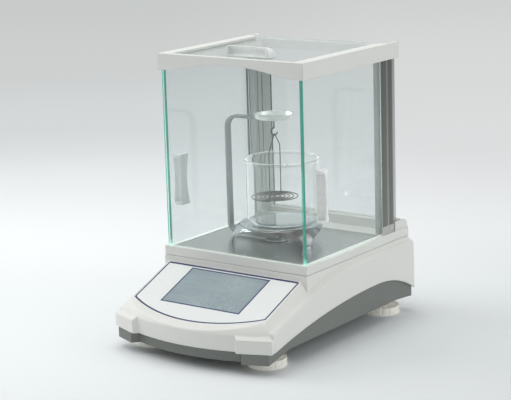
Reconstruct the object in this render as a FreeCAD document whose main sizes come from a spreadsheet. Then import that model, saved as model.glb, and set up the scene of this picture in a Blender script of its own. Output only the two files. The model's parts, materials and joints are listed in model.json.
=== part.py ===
"""Analytical balance with glass draught shield and density-weighing kit, in millimetres.

+Z is up, +Y runs from the display to the back, and the origin is the middle of the
space that the balance stands on. Lengths along Y whose names end in _in are measured
back from the front edge of the chamber deck.
"""
import FreeCAD, Part
import math
import os
import re
import Sketcher

SIZES = {
    # how far a cutter passes the faces it opens, a little and a lot
    "past": 1.0,
    "far": 15.0,
    # chamber deck: the white frame piece that carries the glass chamber
    "deck_front": -57.0,
    "deck_depth": 218.0,
    "deck_half": 100.0,
    "deck_low": 90.6,
    "deck_top": 101.4,
    "deck_skin": 3.4,
    "seam_height": 0.6,
    "seam_depth": 0.8,
    "floor_half": 90.4,
    "floor_front_in": 6.6,
    "floor_rear_in": 164.4,
    "floor_thickness": 1.0,
    "floor_sink": 0.4,
    "floor_screw_x": -5.0,
    "floor_screw_in": 59.7,
    "floor_screw_head": 1.8,
    "floor_screw_shank": 1.2,
    "lip_dip": 2.6,
    "lip_front_in": 9.0,
    "lip_rear_in": 165.0,
    "hump_front_in": 190.0,
    "hump_half": 98.5,
    "hump_top": 112.6,
    "hump_round": 10.0,
    "post_hole": 11.0,
    "floor_hole": 10.0,
    "floor_play": 0.2,
    "floor_screw_rise": 0.7,
    "under_half": 86.0,
    "under_front_in": 8.0,
    "under_rear_in": 188.0,
    # glass panes and their grooves
    "pane_gap": 0.3,
    "fixed_pane_gap": 0.2,
    "front_pane_in": 2.4,
    "pane_thickness": 3.6,
    "front_pane_half": 96.5,
    "front_pane_top": 321.2,
    "pane_foot": 97.8,
    "rear_pane_in": 198.6,
    "rear_pane_half": 87.6,
    "rear_pane_low": 106.0,
    "rear_pane_top": 318.0,
    "door_inner": 92.6,
    "door_thickness": 3.2,
    "door_front_in": 6.5,
    "door_rear_in": 165.8,
    "door_top": 312.2,
    "slot_inner": 91.9,
    "slot_outer": 96.5,
    # top frame and its sliding pane
    "frame_half": 100.7,
    "frame_front_in": 0.4,
    "frame_rear_in": 198.6,
    "frame_low": 308.8,
    "frame_top": 327.4,
    "frame_bar_in": 8.0,
    "rail_inner": 85.0,
    "rail_step_in": 172.0,
    "rail_step_end_in": 178.0,
    "rail_thin": 97.0,
    "crossbar_in": 186.0,
    "roof_low": 320.2,
    "roof_thickness": 4.0,
    "roof_half": 87.5,
    "roof_front_in": 8.4,
    "roof_rear_in": 196.0,
    "bar_foot": 92.0,
    "bar_turn": 62.0,
    "bar_turn_rise": 3.5,
    "bar_radius": 290.0,
    "bar_foot_radius": 138.0,
    # rear posts and the outer guide strips
    "post_inner": 84.0,
    "post_front_in": 166.0,
    "post_rear_in": 203.0,
    "post_wall": 1.6,
    "post_foot_top": 111.0,
    "guide_outer": 97.5,
    "guide_front_in": 164.2,
    "guide_rear_in": 189.0,
    "post_groove": 4.0,
    "post_ribs_in": 5.0,
    "post_rib_pitch": 9.0,
    "rib_width": 1.6,
    "rib_depth": 0.8,
    "guide_groove_in": 11.0,
    "guide_groove": 4.0,
    "guide_groove_depth": 0.4,
    # finger grips of the three sliding panes
    "grip_length": 60.0,
    "grip_depth": 15.0,
    "grip_height": 12.0,
    "grip_lip": 3.2,
    "grip_waist": 4.0,
    "grip_recess": 2.0,
    "grip_wall": 4.0,
    "grip_round": 12.5,
    "grip_end_round": 5.0,
    "scoop_radius": 4.8,
    "scoop_middle": 6.0,
    "side_grip_middle": 174.5,
    "side_grip_front_in": 29.0,
    "roof_grip_front_in": 35.5,
    # upper housing
    "skirt_half": 109.4,
    "crease_half": 108.0,
    "shoulder_half": 105.8,
    "shoulder_rise": 2.2,
    "valley_half": 102.5,
    "valley_rise": 3.4,
    "flank_half": 100.4,
    "flank_rise": 5.5,
    "panel_half": 94.5,
    "panel_slope": 21.57,
    "panel_top_in": -1.0,
    "panel_top": 84.15,
    "housing_rear_in": 216.0,
    "housing_wall": 2.6,
    "housing_low": 18.0,
    "crease_bend_in": -12.0,
    "crease_bend": 126.0,
    "crease_ramp": 0.319,
    "crease_level": 83.9,
    "console_front_in": -112.0,
    "screw_half": 88.0,
    "screw_front_in": -30.0,
    "screw_rear_in": 172.0,
    "screw_post": 4.5,
    "screw_drive": 0.9,
    "screw_drive_depth": 0.8,
    "screw_sink": 1.4,
    "screw_play": 0.2,
    "screw_shank": 1.9,
    "screw_head": 3.6,
    "screw_reach": 14.0,
    "inlet_x": 62.0,
    "inlet_radius": 5.6,
    "inlet_bore": 3.0,
    "inlet_floor": 2.0,
    "socket_proud": 0.6,
    "serial_rim": 6.0,
    "serial_lip": 2.4,
    "serial_depth": 6.0,
    "serial_x": -52.0,
    "serial_half": 15.5,
    "socket_low": 56.0,
    "socket_height": 12.6,
    "socket_reach": 10.0,
    "front_centre_in": 124.6,
    "front_radius_low": 227.2,
    "front_radius_high": 228.6,
    "front_low": 24.0,
    "front_high": 42.0,
    "brow_radius": 214.6,
    "brow_top": 57.8,
    "brow_curve": 36.0,
    "edge_peak": 50.9,
    "edge_peak_in": 135.0,
    "edge_tail": 90.0,
    "edge_front_radius": 850.0,
    "edge_rear_radius": 151.0,
    "block_inner": 72.6,
    "block_inner_in": -97.5,
    "block_outer_in": -82.7,
    "block_root": 66.0,
    "block_root_in": -91.5,
    "block_back_in": -66.0,
    "block_face_top": 38.8,
    "block_top": 43.6,
    "block_bevel": 6.2,
    # lower casing
    "casing_half": 105.5,
    "casing_rear_in": 214.4,
    "casing_wall": 2.5,
    "casing_low": 11.4,
    "casing_floor": 20.0,
    "casing_tail": 15.6,
    "casing_radius": 222.6,
    "casing_overlap": 5.0,
    "casing_root": 70.5,
    "casing_block": 77.4,
    "casing_block_in": -94.6,
    "casing_corner_in": -83.1,
    "casing_rise_in": -43.0,
    "casing_fall_in": 179.0,
    "nose_share": 0.9,
    "nose_back_share": 1.2,
    "corner_share": 0.8,
    # weigh cell and circuit boards
    "cell_half": 45.0,
    "cell_front_in": 62.0,
    "cell_rear_in": 200.0,
    "cell_base_top": 30.0,
    "cell_block_half": 20.0,
    "cell_block_rear_in": 146.0,
    "cell_block_top": 70.0,
    "cell_slot": 3.0,
    "cell_skin": 6.0,
    "cell_core": 14.0,
    "cell_front": 15.0,
    "cell_slot_in": 8.0,
    "cell_window_in": 12.0,
    "coil_gap": 1.0,
    "coil_floor": 2.0,
    "magnet_in": 174.0,
    "magnet_radius": 20.0,
    "magnet_top": 54.0,
    "coil_inner": 11.0,
    "coil_outer": 14.0,
    "coil_low": 42.0,
    "lever_low": 58.0,
    "lever_top": 64.0,
    "lever_half": 5.0,
    "board_inner": 52.0,
    "board_outer": 98.0,
    "board_front_in": 70.0,
    "board_rear_in": 160.0,
    "board_low": 30.0,
    "board_thickness": 1.6,
    "spacer_radius": 3.0,
    "spacer_inset": 6.0,
    "lcd_half": 58.0,
    "lcd_depth": 6.0,
    "display_board_half": 66.0,
    # display
    "film_thickness": 0.5,
    "film_recess": 0.6,
    "film_gap": 0.3,
    "window_gap": 0.1,
    "film_half": 91.8,
    "film_top": 1.4,
    "film_corner": 1.6,
    "film_side": 72.3,
    "film_apex": 96.7,
    "window_half": 53.3,
    "window_top": 7.8,
    "window_low": 69.5,
    # levelling feet
    "foot_half": 79.4,
    "foot_front_in": -49.6,
    "foot_rear_in": 187.2,
    "wheel_radius": 22.0,
    "wheel_height": 9.0,
    "wheel_lobes": 16,
    "wheel_rim": 1.6,
    "wheel_step": 0.4,
    "wheel_web": 5.0,
    "wheel_wall": 2.4,
    "wheel_floor": 2.0,
    "groove_radius": 1.9,
    "groove_out": 0.6,
    "hub_radius": 8.8,
    "spoke_half": 0.7,
    "spoke_drop": 0.4,
    "stud_radius": 4.0,
    "stud_top": 30.0,
    "stud_clearance": 0.05,
    "insert_radius": 6.5,
    "boss_radius": 11.0,
    "boss_low": 13.0,
    "boss_top": 28.0,
    "insert_sink": 0.5,
    # weighing kit
    "pan_in": 87.0,
    "kit_gap": 0.1,
    "carrier_radius": 5.0,
    "disc_radius": 12.7,
    "disc_low": 101.6,
    "disc_thickness": 1.8,
    "strip_width": 8.0,
    "strip_thickness": 3.4,
    "strip_reach": 69.0,
    "strip_top": 247.0,
    "strip_low_bend": 10.0,
    "strip_high_bend": 14.0,
    "dish_radius": 23.4,
    "dish_height": 4.8,
    "dish_flare": 2.4,
    "dish_wall": 0.8,
    "dish_rim": 1.3,
    "dish_turn": 0.3,
    "hook_wire": 0.8,
    "hook_radius": 4.2,
    "hook_middle": 231.0,
    "basket_radius": 29.3,
    "basket_height": 154.2,
    "basket_turns": 5.5,
    "basket_wire": 0.6,
    "spiral_start": 2.05,
    "bail_wire": 0.6,
    "bail_shoulder": 211.0,
    "bail_bend": 5.0,
    "bail_peak_bend": 2.4,
    "bail_play": 0.7,
    "bail_turn": 112.0,
    "stand_x": 3.2,
    "stand_in": 88.4,
    "stand_turn": -23.3,
    "stand_low": 101.1,
    "stand_height": 22.4,
    "stand_reach": 56.4,
    "stand_curve": 32.0,
    "stand_bend": 5.0,
    "stand_sheet": 1.5,
    "arch_half": 46.5,
    "arch_height": 20.8,
    "arch_side": 14.0,
    "beaker_x": 5.5,
    "beaker_in": 91.5,
    "beaker_radius": 42.2,
    "beaker_wall": 1.8,
    "beaker_top": 200.0,
    "beaker_corner": 7.0,
    "beaker_lip": 1.2,
    "beaker_flare": 4.0,
    "lip_height": 1.0,
    "lip_round": 0.6,
    "flare_inside": 2.0,
}

doc = FreeCAD.newDocument("analytical_balance")
sheet = doc.addObject("Spreadsheet::Sheet", "Dims")
for row, (alias, size) in enumerate(SIZES.items(), start=1):
    sheet.set(f"A{row}", alias)
    sheet.set(f"B{row}", str(size))
    sheet.setAlias(f"B{row}", alias)
doc.recompute()

WORD = re.compile(r"[A-Za-z_]\w*")
SUB_PARTS = []
EVERYTHING = 1
LOFT_STATIONS = (30.0, 72.0, 114.0, 160.0)
ARC = "Part::GeomCircle"


def bind(formula):
    """The formula as an expression on the sheet's cells."""
    return WORD.sub(lambda m: "Dims." + m.group() if m.group() in SIZES else m.group(), str(formula))


def size(formula):
    """The formula's value now."""
    return float(sheet.evalExpression(bind(formula)))


def sub_part(item, label):
    """Registers a finished object as one physical piece."""
    item.Label = label
    SUB_PARTS.append(item)
    return item


def along(inner):
    """Y of a place measured back from the front edge of the deck."""
    return f"(deck_front + {inner})"


# ---------------------------------------------------------------- primitives and booleans

def block(name, across, back, up):
    """A box between the low and high formulas of each axis."""
    item = doc.addObject("Part::Box", name)
    for side, (low, high) in zip(("Length", "Width", "Height"), (across, back, up)):
        item.setExpression(side, bind(f"({high}) - ({low})"))
    for axis, (low, high) in zip("xyz", (across, back, up)):
        item.setExpression(f"Placement.Base.{axis}", bind(low))
    return item


def mirror_pair(half):
    return (f"-({half})", half)


def rod(name, x, y, low, high, radius):
    """An upright cylinder."""
    item = doc.addObject("Part::Cylinder", name)
    item.setExpression("Radius", bind(radius))
    item.setExpression("Height", bind(f"({high}) - ({low})"))
    for axis, place in zip("xyz", (x, y, low)):
        item.setExpression(f"Placement.Base.{axis}", bind(place))
    return item


def cut(name, base, tool):
    item = doc.addObject("Part::Cut", name)
    item.Base = base
    item.Tool = tool
    return item


def common(name, base, tool):
    item = doc.addObject("Part::Common", name)
    item.Base = base
    item.Tool = tool
    return item


def join(name, pieces):
    item = doc.addObject("Part::MultiFuse", name)
    item.Shapes = pieces
    item.Refine = True
    return item


def group(name, pieces):
    """Separate solids that share one node."""
    item = doc.addObject("Part::Compound", name)
    item.Links = pieces
    return item


def mirrored(name, source):
    item = doc.addObject("Part::Mirroring", name)
    item.Source = source
    item.Normal = FreeCAD.Vector(1, 0, 0)
    return item


def rounded(name, base, radius, wanted):
    """Fillets every edge of base for which wanted(edge) is true."""
    doc.recompute()
    edges = [n for n, edge in enumerate(base.Shape.Edges, start=1) if wanted(edge)]
    item = doc.addObject("Part::Fillet", name)
    item.Base = base
    item.Edges = [(n, size(radius), size(radius)) for n in edges]
    return item


# ---------------------------------------------------------------- sketches and bodies

def new_body(name):
    return doc.addObject("PartDesign::Body", name)


def new_sketch(body, name, plane, offset=None):
    """A sketch on one of the body's origin planes, moved along the plane's normal."""
    sketch = body.newObject("Sketcher::SketchObject", name)
    support = next(f for f in body.Origin.OriginFeatures if f.Role == plane)
    sketch.AttachmentSupport = [(support, "")]
    sketch.MapMode = "FlatFace"
    if offset is not None:
        sketch.setExpression("AttachmentOffset.Base.z", bind(offset))
    return sketch


def outline(sketch, corners):
    """A closed wire through (x, y) corners. A third formula is the radius of the arc that
    leaves the corner: positive turns anticlockwise, negative clockwise."""
    first = sketch.GeometryCount
    points = [(size(c[0]), size(c[1])) for c in corners]
    count = len(points)
    ends = []
    for n, corner in enumerate(corners):
        start = FreeCAD.Vector(*points[n], 0)
        end = FreeCAD.Vector(*points[(n + 1) % count], 0)
        if len(corner) == 2:
            sketch.addGeometry(Part.LineSegment(start, end))
            ends.append((1, 2))
            continue
        radius = size(corner[2])
        chord = end - start
        reach = math.sqrt(max(radius * radius - chord.Length ** 2 / 4, 0))
        side = FreeCAD.Vector(-chord.y, chord.x, 0).normalize()
        centre = (start + end) / 2 + side * reach * math.copysign(1, radius)
        circle = Part.Circle(centre, FreeCAD.Vector(0, 0, 1), abs(radius))
        angles = [math.atan2(p.y - centre.y, p.x - centre.x) for p in (start, end)]
        if radius < 0:
            angles.reverse()
        sketch.addGeometry(Part.ArcOfCircle(circle, *angles))
        ends.append((1, 2) if radius > 0 else (2, 1))
    for n, corner in enumerate(corners):
        here = first + n
        after = first + (n + 1) % count
        follows = ends[(n + 1) % count][0]
        sketch.addConstraint(Sketcher.Constraint("Coincident", here, ends[n][1], after, follows))
        for kind, formula, place in zip(("DistanceX", "DistanceY"), corner, points[n]):
            pin = Sketcher.Constraint(kind, -1, 1, here, ends[n][0], place)
            number = sketch.addConstraint(pin)
            sketch.setExpression(f"Constraints[{number}]", bind(formula))
        if len(corner) == 3:
            pin = Sketcher.Constraint("Radius", here, abs(size(corner[2])))
            number = sketch.addConstraint(pin)
            sketch.setExpression(f"Constraints[{number}]", bind(f"abs({corner[2]})"))
    return sketch


def ring(sketch, x, y, radius):
    """A circle."""
    centre = FreeCAD.Vector(size(x), size(y), 0)
    here = sketch.addGeometry(Part.Circle(centre, FreeCAD.Vector(0, 0, 1), size(radius)))
    pins = (
        (Sketcher.Constraint("DistanceX", -1, 1, here, 3, centre.x), x),
        (Sketcher.Constraint("DistanceY", -1, 1, here, 3, centre.y), y),
        (Sketcher.Constraint("Radius", here, size(radius)), radius),
    )
    for pin, formula in pins:
        number = sketch.addConstraint(pin)
        sketch.setExpression(f"Constraints[{number}]", bind(formula))
    return sketch


def pad(body, sketch, length, both=False):
    item = body.newObject("PartDesign::Pad", sketch.Name + "_pad")
    item.Profile = sketch
    item.setExpression("Length", bind(length))
    if both:
        item.SideType = "Symmetric"
    doc.recompute()
    return item


def pocket(body, sketch, length=None, both=False):
    """Cuts the profile out of the body, and checks that something was cut."""
    before = body.Shape.Volume
    item = body.newObject("PartDesign::Pocket", sketch.Name + "_pocket")
    item.Profile = sketch
    if length is None:
        item.Type = EVERYTHING
    else:
        item.setExpression("Length", bind(length))
    if both:
        item.SideType = "Symmetric"
    doc.recompute()
    if body.Shape.Volume >= before:
        item.Reversed = True
        doc.recompute()
    if body.Shape.Volume >= before:
        raise RuntimeError(f"{sketch.Name} cuts nothing")
    return item


def revolve(body, sketch):
    """A full turn about the sketch's vertical axis."""
    item = body.newObject("PartDesign::Revolution", sketch.Name + "_turned")
    item.Profile = sketch
    item.ReferenceAxis = (sketch, ["V_Axis"])
    item.Angle = 360
    doc.recompute()
    return item


def repeat_round(body, feature, times):
    """Repeats a feature round the body's Z axis."""
    item = body.newObject("PartDesign::PolarPattern", feature.Name + "_round")
    item.Originals = [feature]
    item.Axis = (next(f for f in body.Origin.OriginFeatures if f.Role == "Z_Axis"), [""])
    item.Angle = 360
    item.setExpression("Occurrences", bind(times))
    body.Tip = item
    doc.recompute()
    return item


def stand(body, x, y, z="0"):
    for axis, place in zip("xyz", (x, y, z)):
        body.setExpression(f"Placement.Base.{axis}", bind(place))
    return body


def prism(name, plane, corners, offset, length, both=False):
    """A body that is one outline, pushed out from its plane."""
    body = new_body(name)
    sketch = outline(new_sketch(body, name + "_outline", plane, offset), corners)
    pad(body, sketch, length, both)
    return body


# ---------------------------------------------------------------- wires and bent strips

def swept(name, path, profile):
    """A solid swept along path from a closed profile wire at its start."""
    item = doc.addObject("Part::Feature", name)
    item.Shape = Part.Wire(path).makePipeShell([profile], True, True)
    return item


def round_profile(start, direction, radius):
    return Part.Wire(Part.makeCircle(radius, start, direction))


def bent_path(points, radii):
    """Straight edges through points, with a tangent arc of the given radius at each bend."""
    edges = []
    here = points[0]
    for before, corner, after, radius in zip(points, points[1:], points[2:], radii):
        inward = (before - corner).normalize()
        outward = (after - corner).normalize()
        half = inward.getAngle(outward) / 2
        reach = radius / math.tan(half)
        start = corner + inward * reach
        end = corner + outward * reach
        bisector = (inward + outward).normalize()
        centre = corner + bisector * (radius / math.sin(half))
        middle = centre - bisector * radius
        edges.append(Part.LineSegment(here, start).toShape())
        edges.append(Part.Arc(start, middle, end).toShape())
        here = end
    edges.append(Part.LineSegment(here, points[-1]).toShape())
    return edges


# ---------------------------------------------------------------- housing shells

def crease(inner):
    """Height of the skirt's top edge: a straight ramp, one wide bend, then level."""
    start = size("crease_bend_in")
    if inner < start:
        ramp = f"crease_ramp * ({inner} - crease_bend_in)"
        return f"(crease_level - crease_ramp * crease_bend / 2 + {ramp})"
    if inner < start + size("crease_bend"):
        share = f"(1 - ({inner} - crease_bend_in) / crease_bend)"
        return f"(crease_level - crease_ramp * crease_bend / 2 * {share} ^ 2)"
    return "crease_level"


def panel_height(inner):
    return f"(panel_top + ({inner} - panel_top_in) * tan(panel_slope))"


def section(body, inner, top_half, top, inset):
    """One cross-section of the housing: skirt, crease, shoulder, shallow valley, flank and top."""
    step = inset / 2
    half = [
        (f"skirt_half - {inset}", "housing_low"),
        (f"crease_half - {inset}", f"{crease(inner)} - {step}"),
        (f"shoulder_half - {inset}", f"{crease(inner)} + shoulder_rise - {step}"),
        (f"valley_half - {inset}", f"{crease(inner)} + valley_rise - {step}"),
        (f"flank_half - {inset}", f"{crease(inner)} + flank_rise - {inset}"),
        (f"{top_half} - {inset}", f"{top} - {inset}"),
    ]
    other = [(f"-({across})", up) for across, up in reversed(half)]
    name = f"{body.Name}_at_{round(inner) + 200}"
    return outline(new_sketch(body, name, "XZ_Plane", f"-{along(inner)}"), half + other)


def loft(body, sections, ruled):
    item = body.newObject("PartDesign::AdditiveLoft", body.Name + "_loft")
    item.Profile = sections[0]
    item.Sections = sections[1:]
    item.Ruled = ruled
    doc.recompute()
    return item


def front_form(name, inset):
    """The space behind the curved front wall and the rounded brow between it and the film."""
    body = new_body(name)
    lean = "(front_radius_high - front_radius_low) / (front_high - front_low)"
    revolve(body, outline(new_sketch(body, name + "_profile", "XZ_Plane"), [
        ("0", "0"),
        (f"front_radius_low - front_low * {lean} - {inset}", "0"),
        (f"front_radius_high - {inset}", "front_high", "brow_curve"),
        (f"brow_radius - {inset}", "brow_top"),
        (f"brow_radius - {inset}", "deck_low"),
        ("0", "deck_low"),
    ]))
    return stand(body, "0", along("front_centre_in"))


# ---------------------------------------------------------------- display

def on_panel(name, corners, low, high):
    """A prism on the sloping panel: local Y runs up the slope, local Z out of it."""
    body = prism(name, "XY_Plane", corners, low, f"({high}) - ({low})")
    body.Placement.Rotation = FreeCAD.Rotation(FreeCAD.Vector(1, 0, 0), size("panel_slope"))
    return stand(body, "0", along("panel_top_in"), "panel_top")


def film_shape(name, low, high, gap):
    sag = "(film_apex - film_side)"
    half = f"film_half + {gap}"
    corners = [
        (f"-({half})", f"-film_side - {gap}", f"(film_half ^ 2 + {sag} ^ 2) / (2 * {sag})"),
        (half, f"-film_side - {gap}"),
        (half, f"-film_top - film_corner + {gap}"),
        (f"{half} - film_corner", f"-film_top + {gap}"),
        (f"-({half} - film_corner)", f"-film_top + {gap}"),
        (f"-({half})", f"-film_top - film_corner + {gap}"),
    ]
    return on_panel(name, corners, low, high)


def window_corners(gap, grow="0"):
    half = f"(window_half + {gap} + {grow})"
    low, high = f"-window_low - {gap} - {grow}", f"-window_top + {gap}"
    return [(f"-{half}", low), (half, low), (half, high), (f"-{half}", high)]


def display():
    film_top = "film_thickness - film_recess"
    under = "-housing_wall * cos(panel_slope)"
    film = film_shape("film_blank", "-film_recess", film_top, "0")
    hole = on_panel("film_window", window_corners("0"), "-far", "past")
    sub_part(cut("display_overlay", film, hole), "display_overlay")
    sub_part(on_panel("touch_glass", window_corners("0"), under, film_top), "touch_glass")
    grow = "(lcd_half - window_half)"
    deep = f"{under} - lcd_depth"
    sub_part(on_panel("lcd_module", window_corners("0", grow), deep, under), "lcd_module")
    grow = "(display_board_half - window_half)"
    lowest = f"{deep} - board_thickness"
    sub_part(on_panel("display_board", window_corners("0", grow), lowest, deep), "display_board")


# ---------------------------------------------------------------- upper housing

def housing_solid(name, inset):
    """The housing's outer form, or with an inset the space inside its walls."""
    console = new_body(name + "_console")
    joint = size("panel_top_in") + inset
    front = size("console_front_in")
    loft(console, [section(console, inner, "panel_half", panel_height(inner), inset)
                   for inner in (joint, front)], True)
    rear = new_body(name + "_rear")
    stations = (joint,) + LOFT_STATIONS + (size("housing_rear_in") - inset,)
    loft(rear, [section(rear, inner, "deck_half", "deck_low", inset) for inner in stations], False)
    whole = join(name + "_whole", [console, rear])
    return common(name + "_form", whole, front_form(name + "_front", inset))


def edge_run(name, rise):
    """A wide solid below the housing's lower side edge, raised by rise."""
    foot = (f"{along('edge_peak_in')} - sqrt(edge_front_radius ^ 2 "
            f"- (edge_front_radius - edge_peak + front_low) ^ 2)")
    tail = along("edge_peak_in + edge_tail")
    tail_drop = "(edge_rear_radius - sqrt(edge_rear_radius ^ 2 - edge_tail ^ 2))"
    low, front = "-past", along("console_front_in - far")
    corners = [
        (front, low),
        (tail, low),
        (tail, f"edge_peak - {tail_drop} + {rise}", "edge_rear_radius"),
        (along("edge_peak_in"), f"edge_peak + {rise}", "edge_front_radius"),
        (foot, f"front_low + {rise}"),
        (front, f"front_low + {rise}"),
    ]
    return prism(name, "YZ_Plane", corners, None, "3 * deck_half", True)


def corner_block(name):
    """The raised block at the housing's right front corner, bevelled along its outer top edges."""
    body = new_body(name)
    corners = [
        ("block_root", along("block_root_in")),
        ("block_inner", along("block_inner_in")),
        ("skirt_half", along("block_outer_in")),
        ("crease_half - past", along("block_back_in")),
        ("block_root", along("block_back_in")),
    ]
    sketch = outline(new_sketch(body, name + "_plan", "XY_Plane", "housing_low"), corners)
    base = pad(body, sketch, "block_top - housing_low")
    top, front = size("block_top"), size("block_inner")

    def bevelled(edge):
        ends = edge.Vertexes
        level = all(abs(v.Z - top) < 0.01 for v in ends)
        return level and all(v.X > front - 0.01 for v in ends)

    names = [f"Edge{n}" for n, e in enumerate(base.Shape.Edges, start=1) if bevelled(e)]
    slope = body.newObject("PartDesign::Chamfer", name + "_bevel")
    slope.Base = (base, names)
    slope.ChamferType = "Two distances"
    slope.setExpression("Size", bind("block_top - block_face_top"))
    slope.setExpression("Size2", bind("block_bevel"))
    doc.recompute()
    return body


def screw_places():
    return [(x, y) for y in ("screw_front_in", "screw_rear_in") for x in ("-screw_half", "screw_half")]


def upper_housing():
    outer = housing_solid("housing", 0)
    space = housing_solid("housing_space", size("housing_wall"))
    posts = join("screw_posts", [
        rod(f"screw_post_{n}", x, along(y), "casing_floor + casing_wall", "deck_low", "screw_post")
        for n, (x, y) in enumerate(screw_places())])
    shell = cut("housing_hollow", outer, space)
    right = corner_block("corner_block")
    inside_posts = common("screw_posts_inside", posts, outer)
    solid = join("housing_joined", [shell, right, mirrored("corner_block_left", right), inside_posts])
    removed = [
        edge_run("housing_edge", "0"),
        rod("carrier_hole", "0", along("pan_in"), "deck_low - far", "deck_low + past", "post_hole"),
        film_shape("film_pocket", "-film_recess", "far", "film_gap"),
        on_panel("window_opening", window_corners("window_gap"), "-far", "far"),
        rod_back("inlet_hole", "inlet_x", "inlet_radius"),
        block("serial_hole", ("serial_x - serial_half", "serial_x + serial_half"),
              (along("housing_rear_in - socket_reach"), along("housing_rear_in + past")),
              ("socket_low", "socket_low + socket_height")),
    ]
    removed += [rod(f"pilot_{n}", x, along(y), "casing_floor", "casing_floor + screw_reach + past",
                    "screw_shank") for n, (x, y) in enumerate(screw_places())]
    sub_part(cut("upper_housing", solid, join("housing_removed", removed)), "upper_housing")


def rod_back(name, x, radius):
    """A cylinder along Y through the rear wall, at socket height."""
    item = doc.addObject("Part::Cylinder", name)
    item.setExpression("Radius", bind(radius))
    item.setExpression("Height", bind("socket_reach + past"))
    item.Placement.Rotation = FreeCAD.Rotation(FreeCAD.Vector(1, 0, 0), -90)
    for axis, place in zip("xyz", (x, along("housing_rear_in - socket_reach"),
                                   "socket_low + socket_height / 2")):
        item.setExpression(f"Placement.Base.{axis}", bind(place))
    return item


# ---------------------------------------------------------------- lower casing

def casing_solid(name, inset, rise):
    """The casing's outer form, or the space inside its walls."""
    side = f"casing_half - {inset}"
    arc = f"(casing_radius - {inset})"
    root = f"casing_root + {inset}"
    root_back = along(f"front_centre_in - sqrt({arc} ^ 2 - ({root}) ^ 2)")
    nose = f"casing_block + {inset} * nose_share"
    half = [
        (nose, along(f"casing_block_in + {inset} * nose_back_share")),
        (side, along(f"casing_corner_in + {inset} * corner_share")),
        (side, along(f"casing_rear_in - {inset}")),
    ]
    other = [(f"-({across})", back) for across, back in reversed(half)]
    corners = [(f"-({root})", root_back, arc), (root, root_back)] + half + other
    whole = prism(name, "XY_Plane", corners, "0", "edge_peak + far")
    low, front, rear = "-past", along("console_front_in - far"), along("casing_rear_in + far")
    under = [
        (front, low),
        (rear, low),
        (rear, f"casing_tail + {rise}"),
        (along("casing_fall_in"), f"casing_floor + {rise}"),
        (along("casing_rise_in"), f"casing_floor + {rise}"),
        (along("casing_corner_in"), f"casing_low + {rise}"),
        (front, f"casing_low + {rise}"),
    ]
    below = prism(name + "_below", "YZ_Plane", under, None, "3 * deck_half", True)
    return cut(name + "_form", whole, below)


def foot_places():
    return [("front_left", "-foot_half", "foot_front_in"), ("front_right", "foot_half", "foot_front_in"),
            ("rear_left", "-foot_half", "foot_rear_in"), ("rear_right", "foot_half", "foot_rear_in")]


def lower_casing():
    outer = casing_solid("casing", "0", "0")
    space = casing_solid("casing_space", "casing_wall", "casing_wall")
    lipped = common("casing_lipped", outer, edge_run("casing_edge", "casing_overlap"))
    tray = cut("casing_tray", lipped, space)
    bosses = [rod(f"boss_{corner}", x, along(y), "boss_low", "boss_top", "boss_radius")
              for corner, x, y in foot_places()]
    whole = join("casing_joined", [tray] + bosses)
    holes = [rod(f"bore_{corner}", x, along(y), "0", "boss_top + past", "insert_radius")
             for corner, x, y in foot_places()]
    seat = "casing_floor + past"
    for n, (x, y) in enumerate(screw_places()):
        holes.append(rod(f"screw_hole_{n}", x, along(y), "0", "casing_floor + far", "screw_shank"))
        holes.append(rod(f"screw_seat_{n}", x, along(y), "0", seat, "screw_head + screw_play"))
    housing = next(item for item in SUB_PARTS if item.Label == "upper_housing")
    drilled = cut("casing_drilled", whole, join("casing_holes", holes))
    sub_part(cut("lower_casing", drilled, housing), "lower_casing")


def casing_screws():
    screws = []
    low = "casing_floor - screw_sink"
    for n, (x, y) in enumerate(screw_places()):
        head = rod(f"screw_head_{n}", x, along(y), low, "casing_floor + past", "screw_head")
        tip = "casing_floor + screw_reach"
        shank = rod(f"screw_shank_{n}", x, along(y), "casing_floor", tip, "screw_shank")
        top = f"{low} + screw_drive_depth"
        drive = rod(f"screw_drive_{n}", x, along(y), f"{low} - past", top, "screw_drive")
        screws.append(cut(f"screw_{n}", join(f"screw_blank_{n}", [head, shank]), drive))
    sub_part(group("casing_screws", screws), "casing_screws")


def foot_inserts():
    inserts = []
    for corner, x, y in foot_places():
        body = rod(f"insert_blank_{corner}", x, along(y), "boss_low + insert_sink",
                   "boss_top - insert_sink", "insert_radius")
        hole = rod(f"insert_bore_{corner}", x, along(y), "0", "boss_top + past",
                   "stud_radius + stud_clearance")
        inserts.append(cut(f"insert_{corner}", body, hole))
    sub_part(group("foot_inserts", inserts), "foot_inserts")


# ---------------------------------------------------------------- levelling feet

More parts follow.
